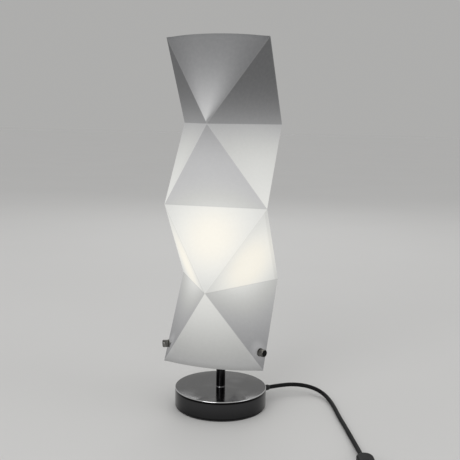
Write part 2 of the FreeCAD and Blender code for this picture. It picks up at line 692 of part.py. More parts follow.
turned("bulb_cap", [
    (5.2, bulb_foot + 1.6), (cap_radius - cap_wall, cap_foot), (cap_radius, cap_foot + 0.6),
    (cap_radius, cap_rim_top), (cap_radius - cap_wall, cap_rim_top),
    (cap_radius - cap_wall, cap_foot + 0.9), (5.2, bulb_foot + 2.4)])
turned("bulb_tip", [
    (0, bulb_foot), (4.0, bulb_foot), (4.8, bulb_foot + 1.2), (4.8, bulb_foot + 2.6),
    (0, bulb_foot + 2.6)])
insulator_radius = cap_radius - cap_wall - size("close_fit") * 2
turned("bulb_insulator", [
    (0, bulb_foot + 2.6), (5.1, bulb_foot + 2.6), (insulator_radius, cap_foot + 1.2),
    (insulator_radius, cap_foot + 3.0), (0, cap_foot + 3.0)])
stem_foot = cap_foot + 3.0
filament_height = bulb_foot + size("bulb_centre")
turned("bulb_stem", [
    (0, stem_foot), (6.0, stem_foot), (6.0, stem_foot + 14), (2.2, stem_foot + 20),
    (2.2, filament_height - 16), (0, filament_height - 16)])


def bulb_profile(globe, neck, foot, neck_top, centre):
    """Half outline of the glass: a neck, a cone tangent to the globe, and the globe's cap."""
    drop = centre - neck_top
    reach = math.hypot(neck, drop)
    tangent = math.atan2(drop, neck) - math.acos(globe / reach)
    touch = Vector(globe * math.cos(tangent), 0, centre - globe * math.sin(tangent))
    side = Vector(globe * math.cos(0.6), 0, centre + globe * math.sin(0.6))
    return [Part.LineSegment(Vector(neck, 0, foot), Vector(neck, 0, neck_top)).toShape(),
            Part.LineSegment(Vector(neck, 0, neck_top), touch).toShape(),
            Part.Arc(touch, side, Vector(0, 0, centre + globe)).toShape()]


def bulb_glass_shape():
    """Blown glass of even wall, open at the foot of its neck."""
    globe = size("bulb_radius").value
    neck = size("bulb_neck_radius").value
    wall = size("glass_wall").value
    foot = cap_foot.value + 5
    neck_top = cap_rim_top.value + 0.8
    centre = filament_height.value
    outside = bulb_profile(globe, neck, foot, neck_top, centre)
    inside = bulb_profile(globe - wall, neck - wall, foot, neck_top, centre)
    crown = Part.LineSegment(Vector(0, 0, centre + globe), Vector(0, 0, centre + globe - wall))
    rim = Part.LineSegment(Vector(neck - wall, 0, foot), Vector(neck, 0, foot))
    edges = outside + [crown.toShape()] + inside[::-1] + [rim.toShape()]
    outline = Part.Wire(Part.__sortEdges__(edges))
    return Part.Face(outline).revolve(Vector(0, 0, 0), Vector(0, 0, 1), 360)


shaped("bulb_glass", bulb_glass_shape())


# ---------------------------------------------------------------- bent wires and leads

def unit(vector):
    return Vector(vector).normalize()


def bend_route(points):
    """Straight runs joined by the largest arcs that they allow, with the arcs' radii."""
    edges = []
    radii = []
    start = points[0]
    for before, corner, after in zip(points, points[1:], points[2:]):
        come = unit(corner - before)
        leave = unit(after - corner)
        half_turn = come.getAngle(leave) / 2
        trim = 0.45 * min((corner - before).Length, (after - corner).Length)
        radius = trim / math.tan(half_turn)
        enter = corner - come * trim
        exit_point = corner + leave * trim
        toward = unit(leave - come)
        middle = corner + toward * (radius / math.cos(half_turn) - radius)
        edges.append(Part.LineSegment(start, enter).toShape())
        edges.append(Part.Arc(enter, middle, exit_point).toShape())
        radii.append(radius)
        start = exit_point
    edges.append(Part.LineSegment(start, points[-1]).toShape())
    return Part.Wire(edges), radii


def tube(label, path, radius):
    """A round tube along a smooth path, its volume compared with section times length."""
    first = path.Edges[0]
    start = first.valueAt(first.FirstParameter)
    section = Part.Circle(start, first.tangentAt(first.FirstParameter), radius)
    solid = path.makePipeShell([Part.Wire([section.toShape()])], True, False)
    expected = math.pi * radius * radius * path.Length
    print(f"{label}: length {path.Length:.1f}, volume ratio {solid.Volume / expected:.4f}")
    return shaped(label, solid)


def bent_tube(label, points, radius):
    path, radii = bend_route(points)
    print(f"{label}: bend radii {[round(value, 1) for value in radii]}")
    return tube(label, path, radius)


wire_radius = size("wire_radius").value
lead_turn = Rotation(size("lead_azimuth").value, 0, 0)
terminal_height = (terminal_foot + size("terminal_depth")).value
for label, side in (("conductor_live", 1), ("conductor_neutral", -1)):
    near = 1.5 * side
    wire_floor = weight_foot.value + wire_radius + 0.4
    route = [Vector(size("lead_start").value, near, size("lead_height").value),
             Vector(size("lead_start").value - 3.5, near, size("lead_height").value),
             Vector(size("lead_start").value - 8.5, near, wire_floor),
             Vector(0, near, wire_floor),
             Vector(0, near, tube_top.value + 0.5),
             Vector(0, terminal_side.value * side, terminal_height - 4.5),
             Vector(0, terminal_side.value * side, terminal_height)]
    bent_tube(label, [lead_turn.multVec(point) for point in route], wire_radius)

# Filament: a hoop of tungsten between two supports that stand on the glass stem.
hoop_radius = 11.0
support_radius = 0.4
hoop_ends = [Vector(hoop_radius * math.cos(angle), hoop_radius * math.sin(angle), 0)
             for angle in (math.radians(-50), math.radians(90), math.radians(230))]
lift = Vector(0, 0, filament_height.value)
hoop_path = Part.Wire([Part.Arc(*[point + lift for point in hoop_ends]).toShape()])
hoop_section = Part.Circle(hoop_ends[0] + lift, hoop_path.Edges[0].tangentAt(
    hoop_path.Edges[0].FirstParameter), support_radius * 1.4)
hoop = hoop_path.makePipeShell([Part.Wire([hoop_section.toShape()])], True, False)
supports = []
for point in hoop_ends:
    foot = Vector(point.x * 0.12, point.y * 0.12, filament_height.value - 15.85)
    rod = (point + lift) - foot
    supports.append(Part.makeCylinder(support_radius, rod.Length, foot, rod))
shaped("bulb_filament", hoop.multiFuse(supports))


# ---------------------------------------------------------------- shade

LEVELS = 5
BOW_STEPS = 12


def fold_corner(level, step, radius, height):
    """Corner of a fold level: levels turn by a sixth from one to the next."""
    azimuth = math.radians(210 + 60 * (level % 2) + 120 * step)
    return Vector(radius * math.cos(azimuth), radius * math.sin(azimuth), height)


def bowed_edge(radius, bow, apex, flat_radius, rising):
    """Points of one free edge that bulges out; the paper keeps its length to the apex."""
    half_edge = flat_radius * math.cos(math.radians(30))
    half_chord = half_edge - bow * bow / half_edge * 2 / 3
    shrink = half_chord / half_edge
    apothem = radius * shrink / 2
    slant = math.hypot(size("storey_height").value, flat_radius / 2)
    outward = unit(Vector(apex.x, apex.y, 0))
    along = Vector(-outward.y, outward.x, 0)
    points = []
    for step in range(BOW_STEPS + 1):
        share = 2 * step / BOW_STEPS - 1
        plan = outward * (apothem + bow * (1 - share * share))
        plan += along * (radius * shrink * math.cos(math.radians(30)) * share)
        ruling = math.hypot(slant, share * half_edge)
        level_run = math.hypot(plan.x - apex.x, plan.y - apex.y)
        climb = math.sqrt(ruling * ruling - level_run * level_run)
        points.append(Vector(plan.x, plan.y, apex.z + (climb if rising else -climb)))
    return points


def shade_skin(inset):
    """Triangles of one side of the paper, with its free top edges and bottom edges."""
    flat_radius = size("corner_radius").value
    radius = flat_radius - inset
    height = size("storey_height").value
    foot = size("shade_foot").value
    corners = [[fold_corner(level, step, radius, foot + level * height) for step in range(3)]
               for level in range(LEVELS)]
    triangles = []
    rims = {"top": [], "foot": []}
    for step in range(3):
        below = corners[LEVELS - 2][step]
        edge = bowed_edge(radius, size("top_bow").value, below, flat_radius, True)
        rims["top"].append(edge)
        triangles += [(below, one, two) for one, two in zip(edge, edge[1:])]
        above = corners[1][step]
        edge = bowed_edge(radius, size("foot_bow").value, above, flat_radius, False)
        rims["foot"].append(edge)
        triangles += [(above, two, one) for one, two in zip(edge, edge[1:])]
    for step in range(3):
        following = (step + 1) % 3
        top_corner = rims["top"][step][-1]
        triangles.append((corners[LEVELS - 2][step], corners[LEVELS - 2][following], top_corner))
        foot_corner = rims["foot"][step][-1]
        triangles.append((corners[1][following], corners[1][step], foot_corner))
    for level in range(1, LEVELS - 2):
        low, high = corners[level], corners[level + 1]
        for step in range(3):
            if level % 2:
                base = (low[step], low[(step + 1) % 3], high[(step + 1) % 3])
                cap = (high[(step + 1) % 3], high[step], low[step])
            else:
                base = (low[step], low[(step + 1) % 3], high[step])
                cap = (high[(step + 1) % 3], high[step], low[(step + 1) % 3])
            triangles += [base, cap]
    return triangles, rims


def shade_shape():
    """The folded paper: an outer and an inner skin closed along the free edges."""
    outer, outer_rims = shade_skin(0)
    inner, inner_rims = shade_skin(paper_inset.value)
    faces = list(outer) + list(inner)
    for rim in ("top", "foot"):
        for outside, inside in zip(outer_rims[rim], inner_rims[rim]):
            for one in range(BOW_STEPS):
                faces.append((outside[one], outside[one + 1], inside[one + 1]))
                faces.append((outside[one], inside[one + 1], inside[one]))
    skins = [Part.Face(Part.makePolygon([a, b, c, a])) for a, b, c in faces]
    solid = Part.makeSolid(Part.makeShell(skins))
    if solid.Volume < 0:
        solid.reverse()
    for azimuth in STUD_AZIMUTHS.values():
        direction = Rotation(azimuth, 0, 0).multVec(Vector(1, 0, 0))
        start = direction * (paper_face.value - 8) + Vector(0, 0, stud_height.value)
        hole = Part.makeCylinder(size("stud_hole_radius").value, 16, start, direction)
        solid = solid.cut(hole)
    return solid.Solids[0] if len(solid.Solids) == 1 else solid


shaped("shade", shade_shape())


# ---------------------------------------------------------------- inline switch

half_length = size("switch_length") / 2
half_width = size("switch_half_width")
cavity_half = size("switch_cavity_half")
cavity_side = size("switch_cavity_side")
SCREW_SPOTS = ((25.0, 5.6), (-25.0, -5.6))


def switch_half(label, foot, top):
    """One half of the housing, hollow in the middle, with the lead's two half holes."""
    body = new_body(label)
    outline = sketch_on(body, "XY_Plane", label + "_plan")
    outline.AttachmentOffset = Placement(Vector(0, 0, foot.value), Rotation())
    outline.setExpression("AttachmentOffset.Base.z", foot.formula)
    draw_stadium(outline, half_length, half_width)
    pad(body, outline, top - foot)
    return body


def hollow(body, name, foot, depth):
    plan = sketch_on(body, "XY_Plane", name)
    plan.AttachmentOffset = Placement(Vector(0, 0, as_size(foot).value), Rotation())
    plan.setExpression("AttachmentOffset.Base.z", as_size(foot).formula)
    draw_outline(plan, [(-cavity_half, -cavity_side), (cavity_half, -cavity_side),
                        (cavity_half, cavity_side), (-cavity_half, cavity_side)])
    pocket(body, plan, depth)


def lead_bore(body, name):
    """Holes for the lead in both ends of a switch half."""
    ring = sketch_on(body, "YZ_Plane", name)
    draw_circle(ring, ORIGIN, size("switch_split"), lead_hole)
    pocket(body, ring, size("switch_length") + 2, both_ways=True)


switch_lower = switch_half("switch_lower", ORIGIN, size("switch_split"))
soften(switch_lower, "Fillet", outer_edges_at(switch_lower, ORIGIN), 1.0)
hollow(switch_lower, "lower_hollow", size("switch_floor"), size("switch_split"))
lead_bore(switch_lower, "lower_lead_bore")
screw_wells = sketch_on(switch_lower, "XY_Plane", "screw_wells")
for across, up in SCREW_SPOTS:
    draw_circle(screw_wells, across, up, 2.3)
pocket(switch_lower, screw_wells, 1.8)
screw_ways = sketch_on(switch_lower, "XY_Plane", "screw_ways")
for across, up in SCREW_SPOTS:
    draw_circle(screw_ways, across, up, 1.3)
pocket(switch_lower, screw_ways, size("switch_split") + 1)

switch_upper = switch_half("switch_upper", size("switch_split"), size("switch_height"))
soften(switch_upper, "Fillet", outer_edges_at(switch_upper, size("switch_height")), 3.0)
ceiling = size("switch_height") - size("switch_roof")
hollow(switch_upper, "upper_hollow", size("switch_split"), ceiling - size("switch_split"))
lead_bore(switch_upper, "upper_lead_bore")
upper_ways = sketch_on(switch_upper, "XY_Plane", "upper_screw_ways")
for across, up in SCREW_SPOTS:
    draw_circle(upper_ways, across, up, 1.25)
pocket(switch_upper, upper_ways, size("switch_split") + 4.6)
window = sketch_on(switch_upper, "XY_Plane", "rocker_window")
window_half = size("rocker_half_length") + 1.1
window_side = size("rocker_half_width") + 0.4
draw_outline(window, [(-window_half, -window_side), (window_half, -window_side),
                      (window_half, window_side), (-window_half, window_side)])
pocket(switch_upper, window, size("switch_height") + 1)
pivot_way = sketch_on(switch_upper, "XZ_Plane", "pivot_way")
draw_circle(pivot_way, ORIGIN, size("rocker_pivot"), size("pivot_radius") + size("close_fit"))
pocket(switch_upper, pivot_way, size("pivot_half_length") * 2 + 0.2, both_ways=True)

# Rocker on its pin, drawn level and then tipped to its "on" side.
rocker = new_body("switch_rocker")
rocker_side = sketch_on(rocker, "XZ_Plane", "rocker_side")
rocker_half = size("rocker_half_length")
rocker_foot = rocker_half - 2.2
draw_outline(rocker_side, [
    (-rocker_foot, -size("rocker_skirt")), (rocker_foot, -size("rocker_skirt")),
    (rocker_half, size("rocker_rise") - 3.2), (rocker_half, size("rocker_rise")),
    (0, size("rocker_dip")), (-rocker_half, size("rocker_rise")),
    (-rocker_half, size("rocker_rise") - 3.2)])
draw_circle(rocker_side, ORIGIN, ORIGIN, size("pivot_radius") + size("close_fit"))
rocker_pad = pad(rocker, rocker_side, size("rocker_half_width") * 2)
rocker_pad.Midplane = True

turned("switch_pivot", [
    (0, -size("pivot_half_length")), (size("pivot_radius"), -size("pivot_half_length")),
    (size("pivot_radius"), size("pivot_half_length")), (0, size("pivot_half_length"))])

# Two brass terminals on the floor of the switch, and the contact strip that bridges them.
TERMINAL = Vector(6, 5, 5)
terminal_blocks = []
for side in (1, -1):
    block = doc.addObject("Part::Box", f"terminal_{'front' if side > 0 else 'rear'}")
    block.Length = TERMINAL.x
    block.Width = TERMINAL.y
    block.Height = TERMINAL.z
    put(block, across=15 * side - TERMINAL.x / 2, along=-TERMINAL.y / 2, up=size("switch_floor"))
    terminal_blocks.append(block)
terminals = doc.addObject("Part::Compound", "switch_terminals")
terminals.Label = "switch_terminals"
terminals.Links = terminal_blocks
strip = doc.addObject("Part::Box", "switch_contact_strip")
strip.Label = "switch_contact_strip"
strip.Length = 34
strip.Width = 4
strip.Height = 0.6
STRIP_CORNER = Vector(-17, -2, 0)

screw_set = []
for across, up in SCREW_SPOTS:
    head = Part.makeCylinder(2.2, 1.5, Vector(across, up, 0.2))
    shank_rod = Part.makeCylinder(1.2, size("switch_split").value + 2.5, Vector(across, up, 1.7))
    screw_set.append(head.fuse(shank_rod).removeSplitter())
switch_screws = shaped("switch_screws", Part.makeCompound(screw_set))

switch_turn = Rotation(size("switch_azimuth").value, 0, 0)
switch_middle = Vector(size("switch_x").value, size("switch_y").value, 0)


def put_in_switch(piece, local=Vector(0, 0, 0), extra=Rotation()):
    piece.Placement = Placement(switch_middle + switch_turn.multVec(local),
                                switch_turn.multiply(extra))


pivot_spot = Vector(0, 0, size("rocker_pivot").value)
tipped = Rotation(Vector(0, 1, 0), -size("rocker_tilt").value)
for piece in (switch_lower, switch_upper, terminals, switch_screws):
    put_in_switch(piece)
put_in_switch(rocker, pivot_spot, tipped)
put_in_switch(doc.getObject("switch_pivot"), pivot_spot, Rotation(Vector(1, 0, 0), 90))
put_in_switch(strip, STRIP_CORNER + Vector(0, 0, size("switch_floor").value + TERMINAL.z))


# ---------------------------------------------------------------- mains lead

lead_radius = size("lead_radius").value
out_of_base = Rotation(size("lead_azimuth").value, 0, 0).multVec(Vector(1, 0, 0))
along_switch = switch_turn.multVec(Vector(1, 0, 0))
switch_axis = switch_middle + Vector(0, 0, size("switch_split").value)
grip = half_length.value - size("switch_grip").value

# From the strain relief the lead springs out, sinks to the table and runs to the switch. It
# stays straight inside the relief and the switch, and bends between them.
STRAIGHT = 24.0
relief_tip = out_of_base * relief_end.value + Vector(0, 0, size("lead_height").value)
TO_SWITCH = [
    Vector(81.8, 73.0, 11.8), Vector(98.2, 78.3, 10.4), Vector(114.5, 75.7, 8.3),
    Vector(127.8, 66.0, 5.8), Vector(137.6, 50.9, 3.8), Vector(147.2, 28.9, 2.9),
    Vector(156.6, 0.6, 2.75), Vector(167.4, -28.0, 2.75), Vector(177.6, -56.0, 2.75),
    Vector(187.0, -83.0, 3.2)]
bent_tube("cord_to_switch", [relief_tip, relief_tip + out_of_base * 17] + TO_SWITCH + [
    switch_axis - along_switch * (grip + STRAIGHT), switch_axis - along_switch * grip],
    lead_radius)

# The coil: the lead winds in on the table, climbs a layer where it turns back, and winds out.
COIL_IN = 3.25
COIL_OUT = 3.0
QUARTERS = int(4 * (COIL_IN + COIL_OUT))
coil_middle = Vector(size("coil_x").value, size("coil_y").value, 0)
coil_pitch = size("coil_pitch").value
coil_inner = size("coil_outer").value - coil_pitch * COIL_IN


def coil_point(turns):
    """Centre line of the coil after so many turns, clockwise seen from above."""
    radius = coil_inner + coil_pitch * abs(turns - COIL_IN)
    azimuth = math.radians(size("coil_start").value - 360 * turns)
    climb = min(max((turns - COIL_IN) / 0.5 + 0.5, 0), 1)
    height = lead_radius + coil_pitch * climb
    return coil_middle + Vector(radius * math.cos(azimuth), radius * math.sin(azimuth), height)


def coil_direction(turns):
    """Direction of travel, level except halfway up the climb."""
    azimuth = math.radians(size("coil_start").value - 360 * turns)
    radius = coil_inner + coil_pitch * abs(turns - COIL_IN)
    drift = 0 if turns == COIL_IN else math.copysign(coil_pitch, turns - COIL_IN) / (2 * math.pi)
    rise = 3 * coil_pitch / math.pi if turns == COIL_IN else 0
    forward = Vector(math.sin(azimuth), -math.cos(azimuth), 0) * radius
    outward = Vector(math.cos(azimuth), math.sin(azimuth), 0) * drift
    return unit(forward + outward + Vector(0, 0, rise))


def arc_from(start, direction, end):
    """The arc that leaves start in a direction and reaches end."""
    chord = end - start
    away = direction - unit(chord) * direction.dot(unit(chord))
    if away.Length < 1e-7:
        return Part.LineSegment(start, end)
    half_angle = direction.getAngle(chord) / 2
    middle = start + chord * 0.5 + unit(away) * (chord.Length / 2 * math.tan(half_angle))
    return Part.Arc(start, middle, end)


def biarc(start, direction, end, end_direction):
    """Two arcs that join two points and keep both directions."""
    gap = end - start
    both = direction + end_direction
    spread = 2 * (1 - direction.dot(end_direction))
    reach = (-gap.dot(both) + math.sqrt(gap.dot(both) ** 2 + spread * gap.dot(gap))) / spread
    joint = (start + end + (direction - end_direction) * reach) * 0.5
    joint_direction = unit((end - start) - (direction + end_direction) * reach)
    return [arc_from(start, direction, joint).toShape(),
            arc_from(joint, joint_direction, end).toShape()]


def coil_path():
    edges = []
    first = coil_point(0)
    entry = first - coil_direction(0) * lead_radius * 2
    edges.append(Part.LineSegment(entry, first).toShape())
    for quarter in range(QUARTERS):
        one, two = quarter / 4, (quarter + 1) / 4
        edges += biarc(coil_point(one), coil_direction(one), coil_point(two), coil_direction(two))
    last = coil_point(QUARTERS / 4)
    leaving = last + coil_direction(QUARTERS / 4) * lead_radius * 2
    edges.append(Part.LineSegment(last, leaving).toShape())
    return Part.Wire(edges), entry, leaving


def least_gap(path, radius):
    """Least clear distance between stretches of a wound tube that aren't neighbours."""
    points = path.discretize(Number=1400)
    skip = int(1400 * 12 * radius / path.Length)
    nearest = min((points[i] - points[j]).Length
                  for i in range(0, 1400, 2) for j in range(i + skip, 1400, 2))
    return nearest - 2 * radius


coil_wire, coil_entry, coil_exit = coil_path()
print(f"cord_coil: least gap to itself {least_gap(coil_wire, lead_radius):.2f}")
tube("cord_coil", coil_wire, lead_radius)

into_coil = coil_direction(0)
TO_COIL = [Vector(226.4, -211.5, 3.4)]
bent_tube("cord_to_coil", [switch_axis + along_switch * grip,
                           switch_axis + along_switch * (grip + STRAIGHT)] + TO_COIL + [
    coil_entry - into_coil * 14, coil_entry], lead_radius)


# ---------------------------------------------------------------- plug

plug_turn = Rotation(size("plug_azimuth").value, 0, 0)
plug_rear = Vector(size("plug_x").value, size("plug_y").value, 0)
along_plug = plug_turn.multVec(Vector(1, 0, 0))
plug_middle_height = size("plug_height") / 2

plug_body = new_body("plug_body")
plug_plan = sketch_on(plug_body, "XY_Plane", "plug_plan")
plug_side = size("plug_width") / 2
draw_outline(plug_plan, [
    (0, -5.5), (12, -7.5), (20, -plug_side), (size("plug_length"), -plug_side),
    (size("plug_length"), plug_side), (20, plug_side), (12, 7.5), (0, 5.5)])
pad(plug_body, plug_plan, size("plug_height"))
for level in (ORIGIN, size("plug_height")):
    soften(plug_body, "Chamfer", outer_edges_at(plug_body, level), 2.5)

plug_boot = turned("plug_boot", [
    (lead_hole, -size("plug_boot_length")), (lead_hole + 0.6, -size("plug_boot_length")),
    (size("plug_boot_radius"), 0), (lead_hole, 0)])
pins = []
for side in (1, -1):
    pin = Part.makeCylinder(size("pin_radius").value, size("pin_length").value,
                            Vector(size("plug_length").value, size("pin_spacing").value / 2 * side,
                                   plug_middle_height.value), Vector(1, 0, 0))
    tip_edges = [edge for edge in pin.Edges if isinstance(edge.Curve, Part.Circle)
                 and edge.CenterOfMass.x > size("plug_length").value + 1]
    pins.append(pin.makeChamfer(1.0, tip_edges))
plug_pins = shaped("plug_pins", Part.makeCompound(pins))
for piece in (plug_body, plug_pins):
    piece.Placement = Placement(plug_rear, plug_turn)
plug_entry = plug_rear + Vector(0, 0, plug_middle_height.value)
plug_boot.Placement = Placement(plug_entry, Rotation(size("plug_azimuth").value, 90, 0))

out_of_coil = coil_direction(QUARTERS / 4)
bent_tube("cord_to_plug", [coil_exit, coil_exit + out_of_coil * 14,
                           plug_entry - along_plug * 18, plug_entry], lead_radius)


# ---------------------------------------------------------------- check and write

doc.recompute()
NODES = (
    "base_pad", "base_shell", "base_weight", "base_cover", "cover_screws", "cord_bushing",
    "cord_stop", "cord_inner", "base_washer", "base_nut", "threaded_tube", "stem_sleeve",
    "carrier_hub", "carrier_arms", "inner_washers", "seat_washer_left", "seat_washer_right",
    "seat_washer_back", "thumb_nut_left", "thumb_nut_right", "thumb_nut_back", "holder_cap",
    "holder_insert", "holder_skirt", "socket_shell", "centre_contact", "shell_rivet",
    "terminal_live", "terminal_neutral", "holder_grub_screw",
    "bulb_cap", "bulb_tip", "bulb_insulator", "bulb_stem", "bulb_glass", "bulb_filament",
    "conductor_live", "conductor_neutral", "shade", "switch_lower", "switch_upper",
    "switch_rocker", "switch_pivot", "switch_terminals", "switch_contact_strip",
    "switch_screws", "cord_to_switch", "cord_to_coil", "cord_coil", "plug_body", "plug_boot",
    "plug_pins", "cord_to_plug")

for part in doc.Objects:
    if "Invalid" in part.State or "Error" in part.State:
        raise ValueError(f"{part.Name} failed: {part.State}")
os.makedirs("parts", exist_ok=True)
pieces = {part.Label: part for part in doc.Objects if part.Label in NODES}
for name in NODES:
    shape = pieces[name].Shape
    if shape.isNull() or not shape.isValid() or shape.Volume <= 0:
        raise ValueError(f"{name} has no valid solid")
for name in NODES:
    shape = pieces[name].Shape
    shape.exportStep(f"parts/{name}.step")
    print(f"{name}: {len(shape.Solids)} solid(s), {shape.Volume / 1000:.3f} cm3")
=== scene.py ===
import math

import bmesh
import bpy
from mathutils import Matrix, Vector


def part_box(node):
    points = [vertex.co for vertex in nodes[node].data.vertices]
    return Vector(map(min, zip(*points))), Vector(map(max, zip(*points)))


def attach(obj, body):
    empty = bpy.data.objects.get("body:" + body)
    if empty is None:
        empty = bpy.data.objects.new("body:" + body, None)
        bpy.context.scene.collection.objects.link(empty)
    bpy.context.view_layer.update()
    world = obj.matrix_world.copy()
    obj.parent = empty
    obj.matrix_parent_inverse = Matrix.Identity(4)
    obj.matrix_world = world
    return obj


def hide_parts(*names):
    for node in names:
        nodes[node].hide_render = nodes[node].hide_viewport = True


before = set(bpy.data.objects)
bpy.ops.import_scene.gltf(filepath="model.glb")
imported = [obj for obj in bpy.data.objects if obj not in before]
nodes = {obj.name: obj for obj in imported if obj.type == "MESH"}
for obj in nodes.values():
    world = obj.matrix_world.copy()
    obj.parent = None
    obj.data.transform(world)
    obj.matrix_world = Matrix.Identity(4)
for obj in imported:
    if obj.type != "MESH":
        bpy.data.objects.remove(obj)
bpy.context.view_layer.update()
scene = bpy.context.scene

# ---------------------------------------------------------------- camera and stage
# The camera stands where the photograph was taken, in front of the lamp at about four fifths of
# its height, and looks a little down. The stage is a plain pale floor under soft studio light: one
# broad light in front, and two weaker ones at the right and behind.

CAMERA_SPOT = (0.2592, -0.9179, 0.3734)
CAMERA_TURN = math.radians(15.225)
CAMERA_DIP = math.radians(8.321)
CAMERA_ROLL = math.radians(0.95)

camera_data = bpy.data.cameras.new("photo_camera")
camera_data.sensor_width = 36.0
camera_data.lens = 58.85
camera = bpy.data.objects.new("photo_camera", camera_data)
scene.collection.objects.link(camera)
camera.matrix_world = (Matrix.Translation(CAMERA_SPOT)
                       @ Matrix.Rotation(CAMERA_TURN, 4, "Z")
                       @ Matrix.Rotation(math.pi / 2 - CAMERA_DIP, 4, "X")
                       @ Matrix.Rotation(CAMERA_ROLL, 4, "Z"))
scene.camera = camera
scene.view_settings.view_transform = "Standard"


class Signal:
    """A number that varies over a surface; sums written on it add Math nodes."""

    def __init__(self, finish, socket):
        self.finish = finish
        self.socket = socket

    def maths(self, operation, *numbers):
        return self.finish.node("Math", {"operation": operation}, dict(enumerate(numbers)))

    def __add__(self, other):
        return self.maths("ADD", self, other)

    __radd__ = __add__

    def __sub__(self, other):
        return self.maths("SUBTRACT", self, other)

    def __rsub__(self, other):
        return self.maths("SUBTRACT", other, self)

    def __mul__(self, other):
        return self.maths("MULTIPLY", self, other)

    __rmul__ = __mul__

    def __truediv__(self, other):
        return self.maths("DIVIDE", self, other)

    def __pow__(self, other):
        return self.maths("POWER", self, other)

    def lesser(self, other):
        return self.maths("MINIMUM", self, other)

    def greater(self, other):
        return self.maths("MAXIMUM", self, other)

    def size(self):
        return self.maths("ABSOLUTE", self)

    def sign(self):
        return self.maths("SIGN", self)

    def exponential(self):
        return self.maths("EXPONENT", self)

    def wave(self):
        return self.maths("SINE", self)

    def rise(self, low, high):
        """0 below low, 1 above high, and a smooth step between them."""
        return self.finish.node("MapRange", {"interpolation_type": "SMOOTHSTEP"},
                                {"Value": self, "From Min": low, "From Max": high})


class Finish:
    """One procedural material, mixed from nodes that one method adds."""

    def __init__(self, name):
        self.material = bpy.data.materials.new(name)
        self.material.use_nodes = True
        self.tree = self.material.node_tree
        self.tree.nodes.clear()
        self.shader = self.tree.nodes.new("ShaderNodeBsdfPrincipled")
        output = self.tree.nodes.new("ShaderNodeOutputMaterial")
        self.tree.links.new(self.shader.outputs[0], output.inputs["Surface"])

    def feed(self, socket, value):
        if isinstance(value, Signal):
            self.tree.links.new(value.socket, socket)
        elif isinstance(value, tuple) and len(socket.default_value) == 4:
            socket.default_value = (*value[:3], 1.0)
        else:
            socket.default_value = value

    def node(self, kind, settings, sockets, out=0):
        """Any shader node: its settings first, then its sockets, and the output that is used."""
        node = self.tree.nodes.new("ShaderNode" + kind)
        for name, value in settings.items():
            setattr(node, name, value)
        for name, value in sockets.items():
            self.feed(node.inputs[name], value)
        return Signal(self, node.outputs[out])

    def vector(self, operation, *vectors, out=0):
        """Vector Math on its vectors; a length, distance or dot product is its "Value"."""
        return self.node("VectorMath", {"operation": operation}, dict(enumerate(vectors)), out)

    def place(self, axis=None):
        """Object coordinates in metres, or one axis of them."""
        spot = self.node("TexCoord", {}, {}, "Object")
        return spot if axis is None else self.node("SeparateXYZ", {}, {0: spot}, axis)

    def noise(self, scale, detail=3.0, vector=None):
        spot = vector or self.place()
        return self.node("TexNoise", {}, {"Vector": spot, "Scale": scale, "Detail": detail})

    def stretched(self, across, along, up):
        """Object coordinates scaled along each axis, for marks that are longer one way."""
        return self.vector("MULTIPLY", self.place(), (across, along, up))

    def blend(self, mask, one, two):
        """Colour one where the mask is 0 and colour two where it is 1."""
        return self.node("Mix", {"data_type": "RGBA"}, {0: mask, 6: one, 7: two}, 2)

    def bump(self, height, distance, strength=0.5):
        return self.node("Bump", {}, {"Height": height, "Distance": distance,
                                      "Strength": strength}, "Normal")

    def surface(self, sockets):
        for name, value in sockets.items():
            self.feed(self.shader.inputs[name], value)


floor_finish = Finish("pale_floor")
floor_tone = floor_finish.noise(2.2).rise(0.3, 0.7)
floor_finish.surface({
    "Base Color": floor_finish.blend(floor_tone, (0.60, 0.597, 0.588), (0.608, 0.605, 0.596)),
    "Roughness": 0.8, "Specular IOR Level": 0.2})
bpy.ops.mesh.primitive_plane_add(size=40.0, location=(0, 0, 0))
floor = bpy.context.object
floor.name = "stage_floor"
floor.data.materials.append(floor_finish.material)

# The world lights the lamp with one grey, and is seen, also in reflections, as another.
SKY_LIGHT = (0.70, 0.70, 0.70, 1)
SKY_SEEN = (0.4215, 0.420, 0.4135, 1)

world = bpy.data.worlds.new("studio")
scene.world = world
world.use_nodes = True
backdrop = world.node_tree.nodes["Background"]
backdrop.inputs["Strength"].default_value = 1.0
seen = world.node_tree.nodes.new("ShaderNodeLightPath")
sky = world.node_tree.nodes.new("ShaderNodeMix")
sky.data_type = "RGBA"
sky.inputs[6].default_value = SKY_LIGHT
sky.inputs[7].default_value = SKY_SEEN
shown = world.node_tree.nodes.new("ShaderNodeMath")
shown.operation = "MAXIMUM"
world.node_tree.links.new(seen.outputs["Is Camera Ray"], shown.inputs[0])
world.node_tree.links.new(seen.outputs["Is Glossy Ray"], shown.inputs[1])
world.node_tree.links.new(shown.outputs[0], sky.inputs[0])
world.node_tree.links.new(sky.outputs[2], backdrop.inputs["Color"])

LIGHTS_AIM = Vector((0, 0, 0.2))

for name, spot, width, power in (("front_lamp", (-0.5, -2.1, 1.4), 1.4, 17.0),
                                 ("right_lamp", (1.7, -0.2, 1.3), 1.0, 3.0),
                                 ("back_lamp", (-0.4, 1.7, 1.5), 1.2, 6.0)):
    light = bpy.data.lights.new(name, "AREA")
    light.size = width
    light.energy = power
    placed_light = bpy.data.objects.new(name, light)
    scene.collection.objects.link(placed_light)
    aim = (LIGHTS_AIM - Vector(spot)).to_track_quat("-Z", "Y")
    placed_light.matrix_world = Matrix.Translation(spot) @ aim.to_matrix().to_4x4()


# ---------------------------------------------------------------- mains lead
# Round two-core flex in a soft black sheath, 5.5 mm across, about 1.8 m long. It springs out of
# the base, sinks to the table, passes the inline switch and is wound into a neat coil.

